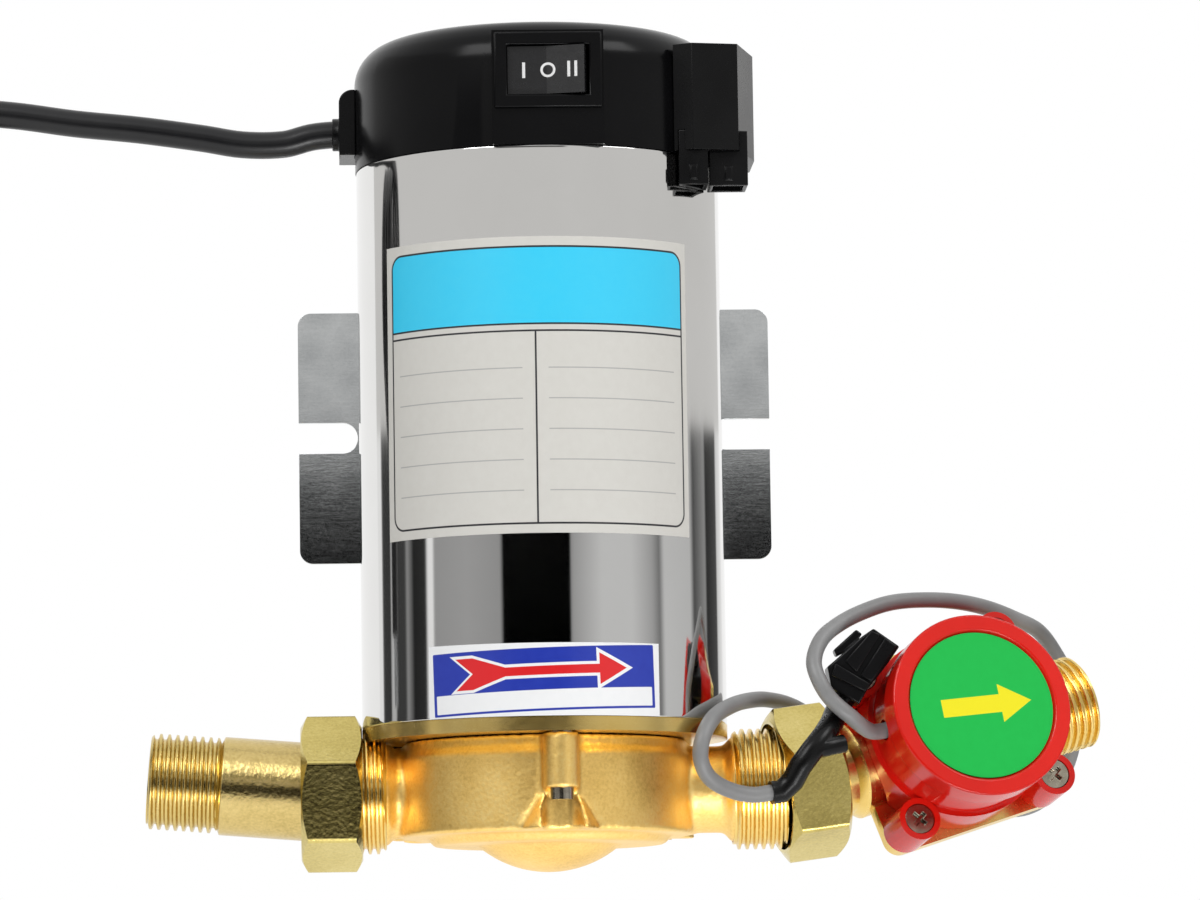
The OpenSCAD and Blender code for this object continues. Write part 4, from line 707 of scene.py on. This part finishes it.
nutForm = {"length": 13.4, "flats": 30.0, "face": 14.6, "turn": 9.5,
           "inside": [(13.4, 11.58), (11.3, 11.58), (11.3, 12.3), (8.2, 12.3), (3.6, 13.3), (3.6, 13.9), (0.0, 13.9)]}
outletWay = (math.cos(math.radians(7.65)) * math.cos(math.radians(9)),
             math.cos(math.radians(7.65)) * math.sin(math.radians(9)), math.sin(math.radians(7.65)))
unions = {"inletUnion": ("inlet_nut", axisFrame((-40.1, 0, 0), (-1, 0, 0)), -1),
          "outletUnion": ("outlet_nut", axisFrame((50.4, -0.1, 0.4), outletWay), 1)}
nutBrass = castBrass("nutBrass", (0.44, 0.34, 0.09), (0.62, 0.50, 0.16), (0.78, 0.65, 0.27), (0.10, 0.24), 0.3)
for name, (node, axis, sign) in unions.items():
    nut = hexPiece(name, axis, nutForm["length"], nutForm["flats"], nutForm["face"], nutForm["inside"],
                   math.radians(sign * nutForm["turn"]), nutBrass)
    settle(nut, node, "brass", node)
print("brass turned")

# Flow switch.
switchOrigin = np.array([58.0, 1.1, 1.5])
yaw, rise = math.radians(18), math.radians(15.7)
along = np.array([math.cos(rise) * math.cos(yaw), math.cos(rise) * math.sin(yaw), math.sin(rise)])
redGloss = plainFinish("redMoulding", (0.62, 0.009, 0.004), (0.74, 0.014, 0.007), 0.17, grain=600.0, height=0.00003,
                       strength=0.15, patches=30.0, shine=0.35, spread=0.06)
tubeForm = {"threadFrom": 57.0, "threadTo": 68.0, "crest": 10.48, "inner": 8.7, "flat": 9.0, "overrun": 0.05}


def flattenTube(p):
    # the tube's ring ridges give way to a plain end, which the winding thread covers
    form = tubeForm
    t = (p - switchOrigin) @ along
    across = p - switchOrigin - t[:, None] * along
    r = np.linalg.norm(across, axis=1)
    onThread = (t > form["threadFrom"] - form["overrun"]) & (r > form["flat"])
    shrink = np.where(onThread, form["flat"] / np.maximum(r, 1e-6), 1.0)
    return switchOrigin + t[:, None] * along + across * shrink[:, None]


tubeBrass = turnedBrass("tubeBrass", along)
dressed("switch_tube", "flowTube", "housing", tubeBrass, bevel=0.3, change=flattenTube)
tubeThread = threadPiece("outletEndThread", axisFrame(switchOrigin, along), tubeForm["threadFrom"],
                         tubeForm["threadTo"], tubeForm["crest"], tubeForm["inner"], tubeBrass)
settle(tubeThread, "housing", "brass")
dressed("switch_housing", "flowHousing", "housing", redGloss, bevel=0.4)
dressed("switch_cap", "flowCap", "housing", redGloss, bevel=0.8, segments=3)
dressed("housing_screws", "flowScrews", "housing", brightScrew, bevel=0.12)

discForm = {"green": (0.003, 0.46, 0.06), "yellow": (0.87, 0.78, 0.01), "middle": 31.7, "turn": -10.0, "edge": 0.12,
            "greenPale": (0.005, 0.50, 0.07), "across": (-0.3203, 0.1325, 0.938),
            "tail": -9.2, "neck": 4.4, "tip": 11.6, "wide": 4.3, "thin": 2.0, "lap": 0.2}


def greenDisc():
    # A plain arrow on a disc, measured along the disc's own two directions.
    p = discForm
    shop = Shop("greenPaper")
    x, y, z = shop.pumpPlace()
    middle = switchOrigin + along * p["middle"]
    across, edge = np.array(p["across"]), p["edge"]
    c, s = math.cos(math.radians(p["turn"])), math.sin(math.radians(p["turn"]))
    first, second = along * c + across * s, across * c - along * s
    x, y, z = x - float(middle[0]), y - float(middle[1]), z - float(middle[2])
    a = x * float(first[0]) + y * float(first[1]) + z * float(first[2])
    b = x * float(second[0]) + y * float(second[1]) + z * float(second[2])
    shaft = (p["thin"] - abs(b)).soft(edge) * (a - p["tail"]).soft(edge) * (p["neck"] + p["lap"] - a).soft(edge)
    slope = p["wide"] / (p["tip"] - p["neck"])
    head = ((p["tip"] - a) * slope - abs(b)).soft(edge) * (a - p["neck"]).soft(edge)
    fibre = shop.noise(500.0, 3.0, 0.6)
    tone = shop.mix(shaft.upper(head), shop.mix(fibre, p["green"], p["greenPale"]), p["yellow"])
    return shop.finish(Base_Color=tone, Roughness=shop.between(fibre, 0.34, 0.45), Specular_IOR_Level=0.25,
                       Normal=shop.bump(shop.noise(160.0), 0.08, 0.0002))


plugGrip = {"face": -17.5, "sunk": 0.3, "ease": 0.2, "bars": [
    (0.7, [(70.7, 33.0), (72.5, 32.2), (67.3, 24.1), (64.9, 26.5)]),
    (0.7, [(73.6, 31.4), (76.1, 29.6), (70.5, 21.9), (68.2, 23.3)]),
    (1.1, [(62.7, 26.0), (70.2, 21.4), (69.0, 19.8), (61.9, 23.4)])]}


def plugBars():
    # Raised bars on the plug's front: each outline is carried from just inside the plug out to its own height.
    verts, faces = [], []
    for height, outline in plugGrip["bars"]:
        first = len(verts)
        for depth in (plugGrip["face"] + plugGrip["sunk"], plugGrip["face"] - height):
            verts += [(x, depth, z) for x, z in outline]
        sides = [[i, (i + 1) % 4, (i + 1) % 4 + 4, i + 4] for i in range(4)]
        faces += [[first + i for i in face] for face in [[0, 1, 2, 3], [4, 5, 6, 7], *sides]]
    bars = newObject("plugBars", rowPlace(verts), np.array(faces), mouldedBlack)
    cleanMesh(bars)
    easeEdges(bars, plugGrip["ease"])
    return settle(bars, "housing", "black_plastic")


paintNode("switch_label", greenDisc())
boot = dressed("cable_boot", "sleeveBoot", "housing", sleeveBlack, sharp=40.0)
plug = dressed("signal_plug", "signalPlug", "housing", mouldedBlack, bevel=0.35)
plugBars()
print("flow switch built")

# Bracket.
dressed("wall_bracket", "wallStrap", "housing", sheetZinc, bevel=0.3)

# Pieces that keep their CAD solid.
rubber = plainFinish("gasketRubber", (0.01, 0.01, 0.01), (0.025, 0.025, 0.025), 0.6, grain=1500.0, height=0.00005)
board = plainFinish("boardGreen", (0.01, 0.12, 0.05), (0.02, 0.17, 0.07), 0.35, grain=500.0, patches=120.0, coat=0.2)
keptFinishes = {
    "cord_tie": cordBlack, "plug_pins": steelBright, "cap_screws": brightScrew, "body_bolts": brightScrew,
    "run_capacitor": plainFinish("capacitorWhite", (0.68, 0.68, 0.66), (0.78, 0.78, 0.76), 0.35),
    "control_board": board, "reed_board": board,
    "relay": plainFinish("relayBlue", (0.02, 0.08, 0.36), (0.035, 0.11, 0.44), 0.3),
    "terminal_block": plainFinish("terminalGreen", (0.02, 0.28, 0.12), (0.03, 0.34, 0.16), 0.4),
    "end_bell": plainFinish("bellAluminium", (0.5, 0.5, 0.51), (0.66, 0.66, 0.67), 0.45, 1.0, height=0.0001,
                            strength=0.5),
    "stator_core": plainFinish("lamination", (0.16, 0.165, 0.17), (0.34, 0.345, 0.35), 0.45, 1.0, patches=1.0,
                               stretch=(60.0, 60.0, 2000.0), grain=1.5),
    "stator_windings": plainFinish("windingCopper", (0.5, 0.2, 0.08), (0.72, 0.34, 0.15), 0.3, 1.0, patches=1.0,
                                   stretch=(900.0, 900.0, 60.0), grain=2.0, height=0.0001),
    "rotor_can": plainFinish("canSteel", (0.55, 0.55, 0.56), (0.68, 0.68, 0.69), 0.28, 1.0),
    "rotor_core": plainFinish("rotorSteel", (0.42, 0.42, 0.43), (0.56, 0.56, 0.57), 0.35, 1.0, patches=1.0,
                              stretch=(60.0, 60.0, 1500.0), grain=1.5),
    "rotor_shaft": steelBright, "impeller_nut": steelBright, "shuttle_spring": steelBright, "shuttle_stop": steelBright,
    "upper_bearing": plainFinish("bearingGraphite", (0.03, 0.03, 0.032), (0.07, 0.07, 0.072), 0.4),
    "bearing_plate": plainFinish("plateSteel", (0.5, 0.5, 0.51), (0.62, 0.62, 0.63), 0.35, 1.0),
    "body_oring": rubber, "inlet_gasket": rubber, "outlet_gasket": rubber,
    "impeller": plainFinish("impellerIvory", (0.66, 0.6, 0.44), (0.76, 0.7, 0.54), 0.4),
    "flow_shuttle": plainFinish("shuttleMagnet", (0.06, 0.06, 0.065), (0.13, 0.13, 0.135), 0.5, 0.6),
}
keptFinishes["lower_bearing"] = keptFinishes["upper_bearing"]
for node, material in keptFinishes.items():
    paintNode(node, material)
print("inner pieces finished")

# Studio.
studio = {"wallRadius": 1.75, "wallTop": 0.19, "paleTop": 1.1, "pale": (0.66, 0.6534, 0.6435), "wallFoot": -0.75,
          "span": (-128, 152), "shelf": (0.72, 0.22), "shelfTurn": (-6.0, 22.0), "floor": -0.8, "floorReach": 6.0,
          "rampShift": 130.0, "rampSpan": 285.0, "rampSplit": 14, "paleBlend": 0.004, "shelfBlend": (0.03, 4.0),
          "shelfInk": 0.85, "shelfTone": (0.03, 0.03, 0.03), "fill": 0.48, "background": 1.0}
slats = [(-128, 0.9), (-123, 0.9), (-122, 0.05), (-113, 0.04), (-112, 0.5), (-108, 0.5), (-107, 0.05), (-98, 0.05),
         (-96, 0.3), (-90, 0.02), (-80, 0.03), (-78, 0.9), (-74, 0.9), (-73, 0.34), (-50, 0.38), (-28, 0.33),
         (-27, 0.0), (15, 0.0), (16, 0.36), (35, 0.62), (55, 0.62), (70, 0.4), (76, 0.2), (80, 0.6), (104, 0.55),
         (108, 0.08), (122, 0.3), (124, 0.03), (140, 0.08), (142, 0.7), (152, 0.9)]


def studioWall():
    # A ring of boards round the object, open behind it: black facing it, grey and dark slats at the sides, pale above.
    lowest, highest = studio["span"]
    angle = np.radians(np.linspace(lowest, highest, highest - lowest + 1))[None, :]
    height = np.array([studio["wallFoot"], studio["wallTop"], studio["paleTop"]])[:, None]
    r, back = studio["wallRadius"], wallGap / 1000
    pts = np.stack([r * np.sin(angle) + 0 * height, -back - r * np.cos(angle) + 0 * height, height + 0 * angle], -1)
    shop = Shop("boardPaint")
    x, y, z = shop.parts(shop.place())
    turn = shop.make("ShaderNodeMath", {"operation": "ARCTAN2"}, {0: x, 1: -(y + back)}) * (180 / math.pi)
    # the slats' tones take two ramps, which share the slat where they meet
    shift, span, split = studio["rampShift"], studio["rampSpan"], studio["rampSplit"]
    share = (turn + shift) / span
    stops = [((t + shift) / span, v) for t, v in slats]
    first = shop.make("ShaderNodeValToRGB", {"stops": stops[:split + 1]}, {0: share})
    second = shop.make("ShaderNodeValToRGB", {"stops": stops[split:]}, {0: share})
    pick = shop.make("ShaderNodeMath", {"operation": "GREATER_THAN"}, {0: turn, 1: float(slats[split][0])})
    tone = shop.mix((z - studio["wallTop"]).soft(studio["paleBlend"]), shop.mix(pick, first, second), studio["pale"])
    # a dark shelf across the front boards, which gives the nuts and the tail their dark middle band
    shelf = (studio["shelf"][1] - abs(z - studio["shelf"][0])).soft(studio["shelfBlend"][0])
    shelf = shelf * (studio["shelfTurn"][1] - abs(turn - studio["shelfTurn"][0])).soft(studio["shelfBlend"][1])
    tone = shop.mix(shelf * studio["shelfInk"], tone, studio["shelfTone"])
    glow = shop.make("ShaderNodeEmission", {}, {"Color": tone, "Strength": 1.0})
    shop.showThrough(shop.make("ShaderNodeLightPath", {}, {}, "Is Camera Ray"), glow)
    obj = newObject("studioBoards", pts.reshape(-1, 3), gridFaces(3, angle.shape[1], False, False), shop.material)


studioWall()
floorShop = Shop("floorPaint")
floorTone = floorShop.mix(floorShop.noise(3.0), (0.86, 0.86, 0.86), (0.9, 0.9, 0.9))
floorRay = floorShop.make("ShaderNodeLightPath", {}, {}, "Is Camera Ray").upper(
    floorShop.make("ShaderNodeLightPath", {}, {}, "Is Glossy Ray"))
floorGlow = floorShop.mix(floorRay, (0.0, 0.0, 0.0), (0.5, 0.5, 0.5))
floorMaterial = floorShop.finish(Base_Color=floorTone, Roughness=0.8, Emission_Color=floorGlow, Emission_Strength=1.0)
floorShop.showThrough(floorShop.make("ShaderNodeNewGeometry", {}, {}, "Backfacing"),
                      Wire(floorShop, floorShop.surface.outputs[0]))
corner = np.array([(-1, -1, 0), (1, -1, 0), (1, 1, 0), (-1, 1, 0)]) * studio["floorReach"]
floor = newObject("studioFloor", corner + (0, 0, studio["floor"]), np.array([(0, 1, 2, 3)]), floorMaterial)

world = bpy.data.worlds.new("studioWorld")
world.use_nodes = True
bpy.context.scene.world = world
tree = world.node_tree
tree.nodes.clear()
rays = tree.nodes.new("ShaderNodeLightPath")
plusGloss = tree.nodes.new("ShaderNodeMath")
plusGloss.operation = "MAXIMUM"
plusGlass = tree.nodes.new("ShaderNodeMath")
plusGlass.operation = "MAXIMUM"
strength = tree.nodes.new("ShaderNodeMapRange")
strength.inputs[3].default_value = studio["fill"]
strength.inputs[4].default_value = studio["background"]
back = tree.nodes.new("ShaderNodeBackground")
back.inputs[0].default_value = (1, 1, 1, 1)
end = tree.nodes.new("ShaderNodeOutputWorld")
tree.links.new(rays.outputs["Is Camera Ray"], plusGloss.inputs[0])
tree.links.new(rays.outputs["Is Glossy Ray"], plusGloss.inputs[1])
tree.links.new(plusGloss.outputs[0], plusGlass.inputs[0])
tree.links.new(rays.outputs["Is Transmission Ray"], plusGlass.inputs[1])
tree.links.new(plusGlass.outputs[0], strength.inputs[0])
tree.links.new(strength.outputs[0], back.inputs[1])
tree.links.new(back.outputs[0], end.inputs[0])

lamps = {"key": {"place": (-0.7, -1.0, 0.9), "size": 0.7, "power": 9.0},
         "side": {"place": (1.0, -0.7, 1.1), "size": 0.6, "power": 6.0},
         "low": {"place": (0.25, -0.72, -0.8), "size": 0.5, "power": 8.0}}
for name, lamp in lamps.items():
    data = bpy.data.lights.new(name + "Lamp", "AREA")
    data.energy, data.size = lamp["power"], lamp["size"]
    obj = bpy.data.objects.new(name + "Lamp", data)
    way = unit(-np.array(lamp["place"]))
    side = unit(np.cross(way, (0, 0, 1)))
    top = np.cross(side, way)
    m = Matrix([[side[r], top[r], -way[r]] for r in range(3)]).to_4x4()
    m.translation = lamp["place"]
    obj.matrix_world = m
    bpy.context.scene.collection.objects.link(obj)
bpy.context.scene.view_settings.view_transform = "Standard"
print("studio lit")
